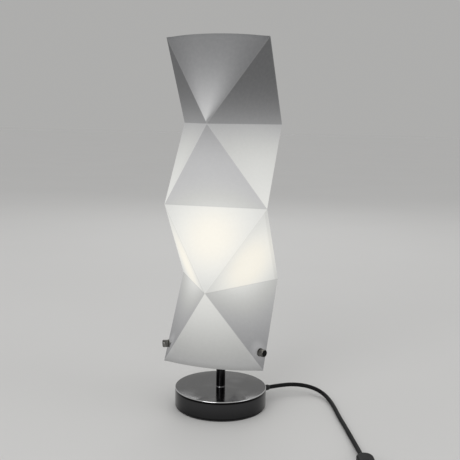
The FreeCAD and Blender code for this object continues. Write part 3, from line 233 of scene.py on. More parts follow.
LEAD_RADIUS = 0.00275
LEAD_AZIMUTH = 42.5
LEAD_HEIGHT = 0.0125
RELIEF_REACH = 0.074
OUT_OF_RELIEF = 0.017
SWITCH_AZIMUTH = -74
INSIDE_SWITCH = 0.018
PAST_SWITCH = 0.042
COIL_AZIMUTH = 5
COIL_INNER = 0.02325
COIL_PITCH = 0.006
COIL_TURNS = 6.25
COIL_TURNS_IN = 3.25
COIL_STEPS = 100
BY_COIL = 0.0055
PAST_COIL = 0.0195
PLUG_AZIMUTH = 176
OUT_OF_PLUG = 0.018


def level_way(azimuth):
    """The level direction at an azimuth, in degrees from +X."""
    return Vector((math.cos(math.radians(azimuth)), math.sin(math.radians(azimuth)), 0))


lead_way = level_way(LEAD_AZIMUTH)
relief_tip = lead_way * RELIEF_REACH + Vector((0, 0, LEAD_HEIGHT))
switch_way = level_way(SWITCH_AZIMUTH)
switch_middle = Vector((0.2077, -0.1543, 0.0065))
coil_middle = Vector((0.193, -0.250, 0))
plug_way = level_way(PLUG_AZIMUTH)
plug_rear = Vector((0.138, -0.2917, 0.007))

sheath = Finish("black_sheath")
sheath_grain = sheath.noise(900.0, 2.0)
sheath_wear = sheath.noise(45.0, 4.0).rise(0.45, 0.75)
sheath.surface({
    "Base Color": sheath.blend(sheath_wear, (0.007, 0.007, 0.0075), (0.014, 0.014, 0.0145)),
    "Roughness": 0.46 + 0.16 * sheath_wear, "Specular IOR Level": 0.12,
    "Normal": sheath.bump(sheath_grain, 0.00008, 0.3)})


def lay_lead(name, points, stands_for):
    """A stretch of lead on one smooth line through its route's points."""
    line = bpy.data.curves.new(name, "CURVE")
    line.dimensions = "3D"
    line.bevel_depth = LEAD_RADIUS
    line.bevel_resolution = 5
    line.resolution_u = 10
    line.use_fill_caps = True
    line.materials.append(sheath.material)
    run = line.splines.new("NURBS")
    run.points.add(len(points) - 1)
    for knot, spot in zip(run.points, points):
        knot.co = (*spot, 1)
    run.order_u = 3
    run.use_endpoint_u = True
    lead = bpy.data.objects.new(name, line)
    scene.collection.objects.link(lead)
    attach(lead, "stand")
    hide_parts(*stands_for)
    return lead


def coil_point(turns):
    """The coil winds in on the table, climbs a layer in half a turn and winds out again."""
    reach = COIL_INNER + COIL_PITCH * abs(turns - COIL_TURNS_IN)
    azimuth = math.radians(COIL_AZIMUTH - 360 * turns)
    layer = min(max((turns - COIL_TURNS_IN) / 0.5 + 0.5, 0), 1)
    return coil_middle + Vector((reach * math.cos(azimuth), reach * math.sin(azimuth),
                                 LEAD_RADIUS + COIL_PITCH * layer))


lead_to_switch = lay_lead("lead_to_switch", [
    relief_tip, relief_tip + lead_way * OUT_OF_RELIEF,
    (0.0818, 0.0730, 0.0118), (0.0982, 0.0783, 0.0104), (0.1145, 0.0757, 0.0083),
    (0.1278, 0.0660, 0.0058), (0.1376, 0.0509, 0.0038), (0.1472, 0.0289, 0.0029),
    (0.1566, 0.0006, LEAD_RADIUS), (0.1674, -0.0280, LEAD_RADIUS), (0.1776, -0.0560, LEAD_RADIUS),
    (0.1870, -0.0830, 0.0032), switch_middle - switch_way * PAST_SWITCH,
    switch_middle - switch_way * INSIDE_SWITCH], ["cord_to_switch"])

coil_line = [coil_point(COIL_TURNS * step / COIL_STEPS) for step in range(COIL_STEPS + 1)]
into_coil = (coil_line[1] - coil_line[0]).normalized()
out_of_coil = (coil_line[-1] - coil_line[-2]).normalized()
lead_to_plug = lay_lead("lead_to_plug", [
    switch_middle + switch_way * INSIDE_SWITCH, switch_middle + switch_way * PAST_SWITCH,
    (0.2264, -0.2115, 0.0034),
    coil_line[0] - into_coil * PAST_COIL, coil_line[0] - into_coil * BY_COIL, *coil_line,
    coil_line[-1] + out_of_coil * BY_COIL, coil_line[-1] + out_of_coil * PAST_COIL,
    plug_rear - plug_way * OUT_OF_PLUG, plug_rear], ["cord_to_coil", "cord_coil", "cord_to_plug"])


# ---------------------------------------------------------------- base
# A shallow drum of drawn sheet steel, chrome plated and polished, 120 mm across, with a cast iron
# weight in it. A coated disc with three screws closes it, and a foam pad is glued under it.

DRUM_RADIUS = 0.060
DRUM_WALL = 0.0015
DRUM_EDGE = 0.0012
TOP_LOOPS = (0.040, 0.020)
HEM_RADIUS = 0.0535
HEM_HEIGHT = 0.003
TUBE_BORE = 0.0053
SAME_SPOT = 1e-7
CRISP_EDGE = math.radians(32)
drum_foot, drum_top = (corner.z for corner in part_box("base_shell"))


def outline_round(corner_radius, corner_height, round_size):
    """Points of a rounded upper outer corner of a turned outline."""
    turns = [math.pi / 2 * step / 8 for step in range(9)]
    return [(corner_radius - round_size + round_size * math.cos(turn),
             corner_height - round_size + round_size * math.sin(turn)) for turn in turns]


def spin(outline, steps):
    """A lathe-turned shape round Z from a closed outline of radius and height."""
    shape = bmesh.new()
    rings = []
    for radius, height in outline:
        count = 1 if radius < SAME_SPOT else steps
        rings.append([shape.verts.new((radius * math.cos(2 * math.pi * step / steps),
                                       radius * math.sin(2 * math.pi * step / steps), height))
                      for step in range(count)])
    for low, high in zip(rings, rings[1:] + rings[:1]):
        for step in range(steps if max(len(low), len(high)) > 1 else 0):
            corners = []
            for vert in (low[step % len(low)], low[(step + 1) % len(low)],
                         high[(step + 1) % len(high)], high[step % len(high)]):
                if vert not in corners:
                    corners.append(vert)
            if len(corners) > 2:
                shape.faces.new(corners)
    return shape


def finish_piece(name, shape, finish, body, stands_for=(), place=Matrix()):
    """Turn a shape into a placed piece: closed, facing outwards, smooth but for its edges."""
    bmesh.ops.remove_doubles(shape, verts=shape.verts, dist=SAME_SPOT)
    bmesh.ops.recalc_face_normals(shape, faces=shape.faces)
    shape.transform(place)
    for face in shape.faces:
        face.smooth = True
    for edge in shape.edges:
        edge.smooth = edge.calc_face_angle(0.0) < CRISP_EDGE
    mesh = bpy.data.meshes.new(name)
    shape.to_mesh(mesh)
    shape.free()
    mesh.materials.append(finish.material)
    piece = bpy.data.objects.new(name, mesh)
    scene.collection.objects.link(piece)
    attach(piece, body)
    if stands_for:
        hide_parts(*stands_for)


def dress(finish, *names):
    """Give carried-over solids their finish."""
    for name in names:
        piece = nodes[name]
        if not piece.data.materials:
            piece.data.materials.append(finish.material)
        for slot in piece.material_slots:
            slot.material = finish.material


chrome = Finish("polished_chrome")
drum_height = chrome.place("Z")
drum_side = 1 - drum_height.rise(drum_top - 0.0013, drum_top - 0.0008)
# A painted highlight, a bright band along the rounded rim.
rim_painted_highlight = drum_height.rise(drum_top - 0.0011, drum_top - 0.0006) \
    * (1 - drum_height.rise(drum_top - 0.0002, drum_top - 0.00005))
# A painted dark line on the side, just under the rim.
lip_painted_shade = drum_height.rise(drum_top - 0.0042, drum_top - 0.0028) \
    * (1 - drum_height.rise(drum_top - 0.0017, drum_top - 0.0011))
# A painted shadow round the drum's foot.
hem_painted_shadow = 1 - drum_height.rise(drum_foot + 0.0004, drum_foot + 0.0022)
plate_haze = chrome.noise(26.0, 5.0).rise(0.42, 0.72)
# Painted reflections: a lighter top, and a much darker side that darkens towards its foot.
top_painted_reflection = chrome.blend(plate_haze, (0.19, 0.19, 0.193), (0.23, 0.23, 0.232))
side_painted_reflection = chrome.blend(drum_height.rise(drum_foot, drum_top - 0.006),
                           (0.040, 0.040, 0.0415), (0.056, 0.056, 0.058))
side_with_painted_shade = chrome.blend(lip_painted_shade.greater(hem_painted_shadow), side_painted_reflection, (0.004, 0.004, 0.004))
chrome_painted_reflections = chrome.blend(drum_side, top_painted_reflection, side_with_painted_shade)
chrome.surface({
    "Base Color": chrome.blend(rim_painted_highlight, chrome_painted_reflections, (0.80, 0.80, 0.81)),
    "Metallic": 1.0,
    "Roughness": 0.09 + 0.07 * plate_haze,
    "Normal": chrome.bump(chrome.noise(320.0, 2.0), 0.00002, 0.25)})
drum_inside = DRUM_RADIUS - DRUM_WALL
drum_ceiling = drum_top - DRUM_WALL
finish_piece("chrome_drum", spin(
    [(HEM_RADIUS, drum_foot + 0.0004), (DRUM_RADIUS - 0.0004, drum_foot),
     (DRUM_RADIUS, drum_foot + 0.0005), (DRUM_RADIUS, drum_foot + 0.010)]
    + outline_round(DRUM_RADIUS, drum_top, DRUM_EDGE)
    + [(radius, drum_top) for radius in TOP_LOOPS]
    + [(TUBE_BORE, drum_top), (TUBE_BORE, drum_ceiling), (TOP_LOOPS[0], drum_ceiling),
       (drum_inside, drum_ceiling), (drum_inside, drum_foot + HEM_HEIGHT),
       (HEM_RADIUS, drum_foot + HEM_HEIGHT)], steps=192), chrome, "stand", ["base_shell"])

foam = Finish("foam_pad")
foam_cells = foam.node("TexVoronoi", {}, {"Vector": foam.place(), "Scale": 900.0}, "Distance")
foam.surface({
    "Base Color": foam.blend(foam_cells.rise(0.1, 0.6), (0.010, 0.010, 0.010), (0.03, 0.03, 0.03)),
    "Roughness": 0.95, "Normal": foam.bump(foam_cells, 0.0003, 0.6)})
dress(foam, "base_pad")

iron = Finish("cast_iron")
iron_skin = iron.noise(160.0, 6.0)
iron.surface({
    "Base Color": iron.blend(iron_skin.rise(0.4, 0.7), (0.045, 0.042, 0.04), (0.10, 0.085, 0.07)),
    "Metallic": 0.6, "Roughness": 0.55 + 0.3 * iron_skin,
    "Normal": iron.bump(iron_skin, 0.0006, 0.6)})
dress(iron, "base_weight")

coated = Finish("coated_steel")
coat_grain = coated.noise(500.0, 3.0)
coated.surface({
    "Base Color": coated.blend(coat_grain.rise(0.4, 0.6), (0.03, 0.03, 0.032), (0.05, 0.05, 0.05)),
    "Roughness": 0.5 + 0.2 * coat_grain, "Normal": coated.bump(coat_grain, 0.0001, 0.4)})
dress(coated, "base_cover")

bright_steel = Finish("zinc_plated_steel")
zinc = bright_steel.noise(120.0, 5.0)
bright_steel.surface({
    "Base Color": bright_steel.blend(zinc.rise(0.35, 0.65), (0.42, 0.42, 0.43),
                                     (0.55, 0.55, 0.56)),
    "Metallic": 1.0, "Roughness": 0.25 + 0.2 * zinc,
    "Normal": bright_steel.bump(bright_steel.noise(900.0, 2.0), 0.00003, 0.3)})
dress(bright_steel, "cover_screws", "base_washer", "base_nut", "threaded_tube")


# ---------------------------------------------------------------- strain relief
# A soft black sleeve that tapers along the lead, with moulded rings that let it bend. Its collar
# sits against the drum's wall, and a ring inside keeps the lead from being pulled out.

RELIEF_ROOT = 0.0525
RELIEF_BORE = LEAD_RADIUS + 0.0001
SLEEVE_RADIUS = 0.0038
COLLAR_RADIUS = 0.0054
wall_face = DRUM_RADIUS - 0.0002


def outwards(azimuth, height):
    """A place on the axis whose Z points outwards and level, at an azimuth in degrees."""
    return Matrix.Translation((0, 0, height)) @ Matrix.Rotation(math.radians(azimuth), 4, "Z") \
        @ Matrix.Rotation(math.pi / 2, 4, "Y")


class Growth:
    """A geometry tree with named sizes, grown once into a plain mesh."""

    def __init__(self, name, sizes):
        self.group = bpy.data.node_groups.new(name, "GeometryNodeTree")
        self.sizes = sizes
        self.group.interface.new_socket("Geometry", in_out="INPUT",
                                        socket_type="NodeSocketGeometry")
        self.group.interface.new_socket("Geometry", in_out="OUTPUT",
                                        socket_type="NodeSocketGeometry")
        for label, value in sizes.items():
            kind = "NodeSocketInt" if isinstance(value, int) else "NodeSocketFloat"
            self.group.interface.new_socket(label, in_out="INPUT", socket_type=kind)
        self.given = self.group.nodes.new("NodeGroupInput").outputs

    def node(self, kind, settings, sockets):
        """Any geometry node: its settings first, then its sockets; gives its outputs."""
        node = self.group.nodes.new(kind)
        for name, value in settings.items():
            setattr(node, name, value)
        for name, value in sockets.items():
            if isinstance(value, bpy.types.NodeSocket):
                self.group.links.new(value, node.inputs[name])
            else:
                node.inputs[name].default_value = value
        return node.outputs

    def maths(self, operation, one, two):
        return self.node("ShaderNodeMath", {"operation": operation}, {0: one, 1: two})[0]

    def circle(self, radius, steps):
        return self.node("GeometryNodeCurvePrimitiveCircle", {},
                         {"Resolution": steps, "Radius": radius})[0]

    def grow(self, name, shape, finish, start=None):
        """The tree's result as a bmesh, its copies made real."""
        real = self.node("GeometryNodeRealizeInstances", {}, {"Geometry": shape})[0]
        dressed = self.node("GeometryNodeSetMaterial", {},
                            {"Geometry": real, "Material": finish.material})[0]
        end = self.group.nodes.new("NodeGroupOutput")
        self.group.links.new(dressed, end.inputs[0])
        seed = bpy.data.objects.new(name, start or bpy.data.meshes.new(name))
        scene.collection.objects.link(seed)
        growing = seed.modifiers.new(name, "NODES")
        growing.node_group = self.group
        for item in self.group.interface.items_tree:
            if item.in_out == "INPUT" and item.name in self.sizes:
                growing[item.identifier] = self.sizes[item.name]
        grown = bpy.data.meshes.new_from_object(
            seed.evaluated_get(bpy.context.evaluated_depsgraph_get()))
        bpy.data.objects.remove(seed)
        result = bmesh.new()
        result.from_mesh(grown)
        bpy.data.meshes.remove(grown)
        return result


rubber = Finish("moulded_black_rubber")
rubber_skin = rubber.noise(400.0, 3.0)
rubber.surface({
    "Base Color": rubber.blend(rubber_skin.rise(0.4, 0.7), (0.012, 0.012, 0.012),
                               (0.024, 0.024, 0.024)),
    "Roughness": 0.5 + 0.15 * rubber_skin, "Normal": rubber.bump(rubber_skin, 0.0001, 0.3)})
along_lead = outwards(LEAD_AZIMUTH, LEAD_HEIGHT)
finish_piece("lead_relief", spin(
    [(RELIEF_BORE, RELIEF_ROOT), (SLEEVE_RADIUS, RELIEF_ROOT), (SLEEVE_RADIUS, wall_face),
     (COLLAR_RADIUS, wall_face), (COLLAR_RADIUS, wall_face + 0.0011), (0.0048, wall_face + 0.0016),
     (0.0041, wall_face + 0.0028), (0.0034, RELIEF_REACH - 0.0005), (0.0031, RELIEF_REACH),
     (RELIEF_BORE, RELIEF_REACH)], steps=48),
    rubber, "stand", ["cord_bushing"], along_lead)
rings = Growth("relief_rings", {"Rings": 6, "Pitch": 0.0018, "Radius": 0.0040,
                                "Thickness": 0.00045, "Taper": 0.032})
ring_pitch = rings.node("ShaderNodeCombineXYZ", {}, {"Z": rings.given["Pitch"]})[0]
ring_row = rings.node("GeometryNodeMeshLine", {}, {"Count": rings.given["Rings"],
                                                   "Offset": ring_pitch})[0]
ring_index = rings.node("GeometryNodeInputIndex", {}, {})[0]
ring_scale = rings.maths("SUBTRACT", 1.0, rings.maths("MULTIPLY", ring_index,
                                                      rings.given["Taper"]))
ring_scales = rings.node("ShaderNodeCombineXYZ", {},
                         {"X": ring_scale, "Y": ring_scale, "Z": 1.0})[0]
ring = rings.node("GeometryNodeCurveToMesh", {}, {
    "Curve": rings.circle(rings.given["Radius"], 32),
    "Profile Curve": rings.circle(rings.given["Thickness"], 8)})[0]
ring_copies = rings.node("GeometryNodeInstanceOnPoints", {}, {
    "Points": ring_row, "Instance": ring, "Scale": ring_scales})[0]
finish_piece("lead_relief_rings", rings.grow("lead_relief_rings", ring_copies, rubber), rubber,
             "stand",
             place=along_lead @ Matrix.Translation((0, 0, wall_face + 0.0036)))
dress(rubber, "cord_stop", "cord_inner")


# ---------------------------------------------------------------- stem and carrier
# A chrome sleeve hides the threaded tube from the drum up to a steel hub. Three turned arms are
# screwed into the hub, and their M4 ends pass through the paper just above its lowest corners.

STEM_RADIUS = 0.0060
STEM_EDGE = 0.0002
HUB_RADIUS = 0.0095
HUB_EDGE = 0.0008
HUB_GROOVE = 0.0003
TOOL_LINES = 9000.0
stem_foot, stem_top = (corner.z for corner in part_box("stem_sleeve"))
hub_foot, hub_top = (corner.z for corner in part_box("carrier_hub"))

stem_chrome = Finish("stem_chrome")
# The stem's chrome is painted nearly black with lighter upright streaks: painted reflections.
painted_reflection_streak = stem_chrome.noise(1.0, 2.0, stem_chrome.stretched(420.0, 420.0, 12.0))
stem_painted_reflection = stem_chrome.blend(painted_reflection_streak.rise(0.45, 0.7), (0.008, 0.008, 0.0085),
                               (0.034, 0.034, 0.035))
# A painted highlight, a thin bright ring at the stem's foot.
foot_painted_highlight = 1 - stem_chrome.place("Z").rise(stem_foot + 0.0004, stem_foot + 0.0010)
stem_chrome.surface({
    "Base Color": stem_chrome.blend(foot_painted_highlight, stem_painted_reflection, (0.62, 0.62, 0.63)),
    "Metallic": 1.0, "Roughness": 0.12 + 0.1 * painted_reflection_streak})
finish_piece("stem_tube_chrome", spin(
    [(TUBE_BORE, stem_foot), (STEM_RADIUS - STEM_EDGE, stem_foot),
     (STEM_RADIUS, stem_foot + STEM_EDGE), (STEM_RADIUS, stem_top - STEM_EDGE),
     (STEM_RADIUS - STEM_EDGE, stem_top), (TUBE_BORE, stem_top)], steps=64),
    stem_chrome, "stand", ["stem_sleeve"])

hub_steel = Finish("turned_steel")
tool_marks = (hub_steel.place("Z") * TOOL_LINES).wave()
hub_steel.surface({
    "Base Color": hub_steel.blend(hub_steel.noise(70.0, 4.0).rise(0.4, 0.7), (0.34, 0.34, 0.345),
                                  (0.48, 0.48, 0.485)),
    "Metallic": 1.0, "Roughness": 0.28,
    "Normal": hub_steel.bump(tool_marks, 0.00003, 0.3)})
groove_foot = hub_foot + 0.0060
groove_top = hub_foot + 0.0070
finish_piece("carrier_hub_turned", spin(
    [(TUBE_BORE, hub_foot), (HUB_RADIUS - HUB_EDGE, hub_foot), (HUB_RADIUS, hub_foot + HUB_EDGE),
     (HUB_RADIUS, groove_foot), (HUB_RADIUS - HUB_GROOVE, groove_foot + HUB_GROOVE),
     (HUB_RADIUS - HUB_GROOVE, groove_top - HUB_GROOVE), (HUB_RADIUS, groove_top),
     (HUB_RADIUS, hub_top - HUB_EDGE), (HUB_RADIUS - HUB_EDGE, hub_top), (TUBE_BORE, hub_top)],
    steps=96), hub_steel, "stand", ["carrier_hub"])
dress(hub_steel, "carrier_arms", "inner_washers")


# ---------------------------------------------------------------- thumb nuts
# Small round nuts of satin nickel that are turned by hand, one on each stud, with a washer under
# it. Their closed ends carry a dark disc, a painted dark reflection, inside a bright rim.

STUD_HEIGHT = 0.088
STUD_AZIMUTHS = {"left": 210, "right": 330, "back": 90}
NUT_RADIUS = 0.00475
NUT_LENGTH = 0.0070
NUT_BORE = 0.0020
DISC_RADIUS = 0.0041
NUT_FINE_LINES = 15000.0

# The nickel is written far darker than bare nickel: a painted dark reflection.
satin = Finish("satin_nickel")
satin_lines = (satin.place("Z") * NUT_FINE_LINES).wave()
satin_tone = satin.noise(200.0, 4.0).rise(0.4, 0.65)
satin.surface({
    "Base Color": satin.blend(satin_tone, (0.15, 0.146, 0.138), (0.27, 0.265, 0.25)),
    "Metallic": 1.0, "Roughness": 0.18 + 0.12 * satin_tone,
    "Normal": satin.bump(satin_lines, 0.00002, 0.3)})
# The dark disc on each nut's end is a painted dark reflection.
nut_end_painted_reflection = Finish("nut_end_painted_reflection")
disc_tone = nut_end_painted_reflection.noise(300.0, 3.0).rise(0.4, 0.7)
nut_end_painted_reflection.surface({
    "Base Color": nut_end_painted_reflection.blend(disc_tone, (0.002, 0.002, 0.002), (0.006, 0.006, 0.006)),
    "Roughness": 0.5 + 0.1 * disc_tone, "Specular IOR Level": 0.1})

for side, azimuth in STUD_AZIMUTHS.items():
    low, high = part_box(f"thumb_nut_{side}")
    seat = level_way(azimuth).dot((low + high) / 2) - NUT_LENGTH / 2
    nut_end = seat + NUT_LENGTH
    along_stud = outwards(azimuth, STUD_HEIGHT)
    finish_piece(f"thumb_nut_{side}_barrel", spin(
        [(NUT_BORE, seat), (0.0042, seat), (NUT_RADIUS, seat + 0.0006),
         (NUT_RADIUS, nut_end - 0.0007), (0.0045, nut_end - 0.0002), (0.0042, nut_end),
         (DISC_RADIUS, nut_end - 0.0004), (0, nut_end - 0.0004), (0, nut_end - 0.0008),
         (NUT_BORE, nut_end - 0.0008)], steps=64),
        satin, f"nut_{side}", [f"thumb_nut_{side}"], along_stud)
    finish_piece(f"thumb_nut_{side}_disc", spin(
        [(0, nut_end - 0.00045), (DISC_RADIUS, nut_end - 0.00045), (0.0039, nut_end - 0.0002),
         (0, nut_end)], steps=48),
        nut_end_painted_reflection, f"nut_{side}", (), along_stud)
dress(satin, *(f"seat_washer_{side}" for side in STUD_AZIMUTHS))


# ---------------------------------------------------------------- lampholder
# A screw lampholder of white moulded resin in two shells, with a brass screw shell, a sprung
# centre contact and two terminals on its insert. It screws onto the tube and a grub screw locks it.

SKIRT_RADIUS = 0.0200
SKIRT_BORE = 0.0184
GROOVE_RADIUS = 0.0197
skirt_foot, skirt_top = (corner.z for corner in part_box("holder_skirt"))

resin = Finish("moulded_resin")
resin_skin = resin.noise(260.0, 4.0)
resin.surface({
    "Base Color": resin.blend(resin_skin.rise(0.4, 0.7), (0.74, 0.73, 0.70),
                              (0.67, 0.66, 0.63)),
    "Roughness": 0.32 + 0.14 * resin_skin, "Normal": resin.bump(resin_skin, 0.00006, 0.3)})
dress(resin, "holder_cap", "holder_insert")
finish_piece("holder_skirt_moulded", spin(
    [(SKIRT_BORE, skirt_foot), (SKIRT_RADIUS, skirt_foot), (SKIRT_RADIUS, skirt_foot + 0.0022),
     (GROOVE_RADIUS, skirt_foot + 0.0026), (GROOVE_RADIUS, skirt_foot + 0.0034),
     (SKIRT_RADIUS, skirt_foot + 0.0038), (SKIRT_RADIUS, skirt_top - 0.0020),
     (SKIRT_RADIUS - 0.0003, skirt_top - 0.0001), (SKIRT_RADIUS - 0.0010, skirt_top),
     (SKIRT_BORE, skirt_top - 0.0004)],
    steps=96), resin, "stand", ["holder_skirt"])

brass = Finish("stamped_brass")
brass_stain = brass.noise(90.0, 5.0).rise(0.4, 0.75)
brass.surface({
    "Base Color": brass.blend(brass_stain, (0.66, 0.46, 0.19), (0.42, 0.28, 0.12)),
    "Metallic": 1.0, "Roughness": 0.25 + 0.2 * brass_stain,
    "Normal": brass.bump(brass.noise(700.0, 2.0), 0.00003, 0.3)})
dress(brass, "socket_shell", "centre_contact", "shell_rivet", "terminal_live", "terminal_neutral")
dress(bright_steel, "holder_grub_screw")


# ---------------------------------------------------------------- wires
# Two stranded wires with coloured plastic insulation, stripped out of the lead inside the base.
# They pass up through the tube and end in the lampholder's terminals.

for name, tone, shade_tone in (("conductor_live", (0.16, 0.055, 0.02), (0.10, 0.035, 0.012)),
                               ("conductor_neutral", (0.02, 0.09, 0.36), (0.012, 0.055, 0.24))):
    insulation = Finish(name + "_insulation")
    wire_tone = insulation.noise(300.0, 2.0).rise(0.35, 0.7)
    insulation.surface({"Base Color": insulation.blend(wire_tone, tone, shade_tone),
                        "Roughness": 0.4 + 0.15 * wire_tone})
    dress(insulation, name)


# ---------------------------------------------------------------- bulb
# An opal globe bulb, 60 mm across, with a screw cap of nickelled steel. It is lit, and the
# paper's painted glow stands for its light. The bulb lifts out through the open top of the shade.

BULB_CENTRE = Vector((0, 0, 0.212))
GLOBE_RADIUS = 0.030
GLASS_WALL = 0.001
NECK_RADIUS = 0.0122
CAP_RADIUS = 0.01305
CAP_CORE = 0.0124
CAP_BORE = 0.0119
TIP_HOLE = 0.0052
glass_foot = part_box("bulb_glass")[0].z
cap_foot, cap_top = (corner.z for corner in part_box("bulb_cap"))

opal = Finish("lit_opal_glass")
opal_height = opal.place("Z")
opal_cool = (opal_height - BULB_CENTRE.z).size().rise(0.012, 0.040)
opal_tint = opal.blend(opal_cool, (1.0, 0.965, 0.89), (1.0, 0.90, 0.74))
opal_cloud = opal.noise(40.0, 4.0).rise(0.3, 0.8)
opal.surface({
    "Base Color": opal.blend(opal_cloud, (0.86, 0.85, 0.82), (0.80, 0.79, 0.76)),
    "Roughness": 0.22 + 0.08 * opal_cloud, "Coat Weight": 0.3,
    "Emission Color": opal_tint, "Emission Strength": 0.45})
neck_top = cap_top + 0.0008
drop = BULB_CENTRE.z - neck_top
tangent = math.atan2(drop, NECK_RADIUS) - math.acos(GLOBE_RADIUS / math.hypot(NECK_RADIUS, drop))
globe_turns = [-tangent + (math.pi / 2 + tangent) * step / 40 for step in range(41)]
globe = [(GLOBE_RADIUS * math.cos(turn), BULB_CENTRE.z + GLOBE_RADIUS * math.sin(turn))
         for turn in globe_turns]
globe[-1] = (0, BULB_CENTRE.z + GLOBE_RADIUS)
inner_share = 1 - GLASS_WALL / GLOBE_RADIUS
finish_piece("bulb_opal_globe", spin(
    [(NECK_RADIUS - GLASS_WALL, glass_foot), (NECK_RADIUS, glass_foot), (NECK_RADIUS, neck_top)]
    + globe + [(0, BULB_CENTRE.z + GLOBE_RADIUS - GLASS_WALL)]
    + [(inner_share * radius, BULB_CENTRE.z + inner_share * (height - BULB_CENTRE.z))
       for radius, height in globe[-2::-4]]
    + [(NECK_RADIUS - GLASS_WALL, neck_top)], steps=96), opal, "bulb", ["bulb_glass"])

cap_metal = Finish("nickelled_cap")
cap_tone = cap_metal.noise(150.0, 4.0).rise(0.4, 0.7)
cap_metal.surface({
    "Base Color": cap_metal.blend(cap_tone, (0.62, 0.60, 0.56), (0.48, 0.46, 0.43)),
    "Metallic": 1.0, "Roughness": 0.25 + 0.15 * cap_tone})
finish_piece("bulb_cap_core", spin(
    [(TIP_HOLE, cap_foot + 0.0002), (CAP_CORE - 0.0003, cap_foot + 0.0021),
     (CAP_CORE, cap_foot + 0.0028), (CAP_CORE, cap_top - 0.0040), (CAP_RADIUS, cap_top - 0.0030),
     (CAP_RADIUS, cap_top), (CAP_BORE + 0.0006, cap_top), (CAP_BORE, cap_top - 0.0030),
     (CAP_BORE, cap_foot + 0.0030), (TIP_HOLE, cap_foot + 0.0010)],
    steps=96), cap_metal, "bulb", ["bulb_cap"])
thread = Growth("bulb_thread", {"Turns": 4.6, "Radius": 0.01238, "Height": 0.0166,
                                "Crest": 0.00066})
thread_line = thread.node("GeometryNodeCurveSpiral", {}, {
    "Resolution": 64, "Rotations": thread.given["Turns"], "Start Radius": thread.given["Radius"],
    "End Radius": thread.given["Radius"], "Height": thread.given["Height"]})[0]
thread_tube = thread.node("GeometryNodeCurveToMesh", {}, {
    "Curve": thread_line, "Profile Curve": thread.circle(thread.given["Crest"], 10),
    "Fill Caps": True})[0]
finish_piece("bulb_cap_thread", thread.grow("bulb_cap_thread", thread_tube, cap_metal), cap_metal,
             "bulb", place=Matrix.Translation((0, 0, cap_foot + 0.0042)))
dress(cap_metal, "bulb_tip")

vitrite = Finish("black_glass_insulator")
vitrite_tone = vitrite.noise(200.0, 3.0).rise(0.4, 0.7)
vitrite.surface({"Base Color": vitrite.blend(vitrite_tone, (0.01, 0.01, 0.012),
                                             (0.03, 0.028, 0.034)), "Roughness": 0.12})
dress(vitrite, "bulb_insulator")
stem_glass = Finish("stem_glass")
stem_cloud = stem_glass.noise(120.0, 3.0).rise(0.4, 0.7)
stem_glass.surface({"Base Color": stem_glass.blend(stem_cloud, (0.70, 0.74, 0.72),
                                                   (0.80, 0.82, 0.80)), "Roughness": 0.08})
dress(stem_glass, "bulb_stem")
tungsten = Finish("tungsten_wire")
tungsten_tone = tungsten.noise(900.0, 2.0).rise(0.4, 0.6)
tungsten.surface({"Base Color": tungsten.blend(tungsten_tone, (0.32, 0.30, 0.28),
                                               (0.45, 0.43, 0.40)), "Metallic": 1.0,
                  "Roughness": 0.4})
dress(tungsten, "bulb_filament")


# ---------------------------------------------------------------- shade
# Three sheets of white translucent paper, scored and folded into triangles and glued edge to
# edge into a tower of four storeys. Each storey turns by a sixth, and the free edges bulge.

CORNER_RADIUS = 0.076
STOREY = 0.101
SHADE_FOOT = 0.066
TOP_BOW = 0.0125
FOOT_BOW = 0.007
ROWS = 14
SAG = 0.0006
FAR_FROM_FOLDS = 1.0
FOLD_ANGLE = math.radians(12)
FOLD_WIDTH = 0.0004
PAPER_WALL = 0.00045


def fold_corner(level, step):
    """One of a level's three corners; those of even levels are at the studs' azimuths."""
    return level_way(STUD_AZIMUTHS["left"] + 60 * (level % 2) + 120 * step) * CORNER_RADIUS \
        + Vector((0, 0, SHADE_FOOT + level * STOREY))


def bowed_edge(apex, bow, rising):
    """A free edge that bulges out while the paper keeps its length to the apex."""
    half_edge = CORNER_RADIUS * math.cos(math.radians(30))
    shrink = 1 - 2 / 3 * (bow / half_edge) ** 2
    slant = math.hypot(STOREY, CORNER_RADIUS / 2)
    outward = Vector((apex.x, apex.y, 0)).normalized()
    along = Vector((-outward.y, outward.x, 0))
    edge = []
    for step in range(ROWS + 1):
        share = 2 * step / ROWS - 1
        spot = outward * (CORNER_RADIUS * shrink / 2 + bow * (1 - share * share)) \
            + along * (half_edge * shrink * share)
        level_run = math.hypot(spot.x - apex.x, spot.y - apex.y)
        climb = math.sqrt(slant ** 2 + (share * half_edge) ** 2 - level_run ** 2)
        edge.append(Vector((spot.x, spot.y, apex.z + (climb if rising else -climb))))
    return edge


def from_line(spot, one, two):
    """Distance of a spot from the fold through two corners."""
    along = (two - one).normalized()
    offset = spot - one
    return (offset - along * offset.dot(along)).length


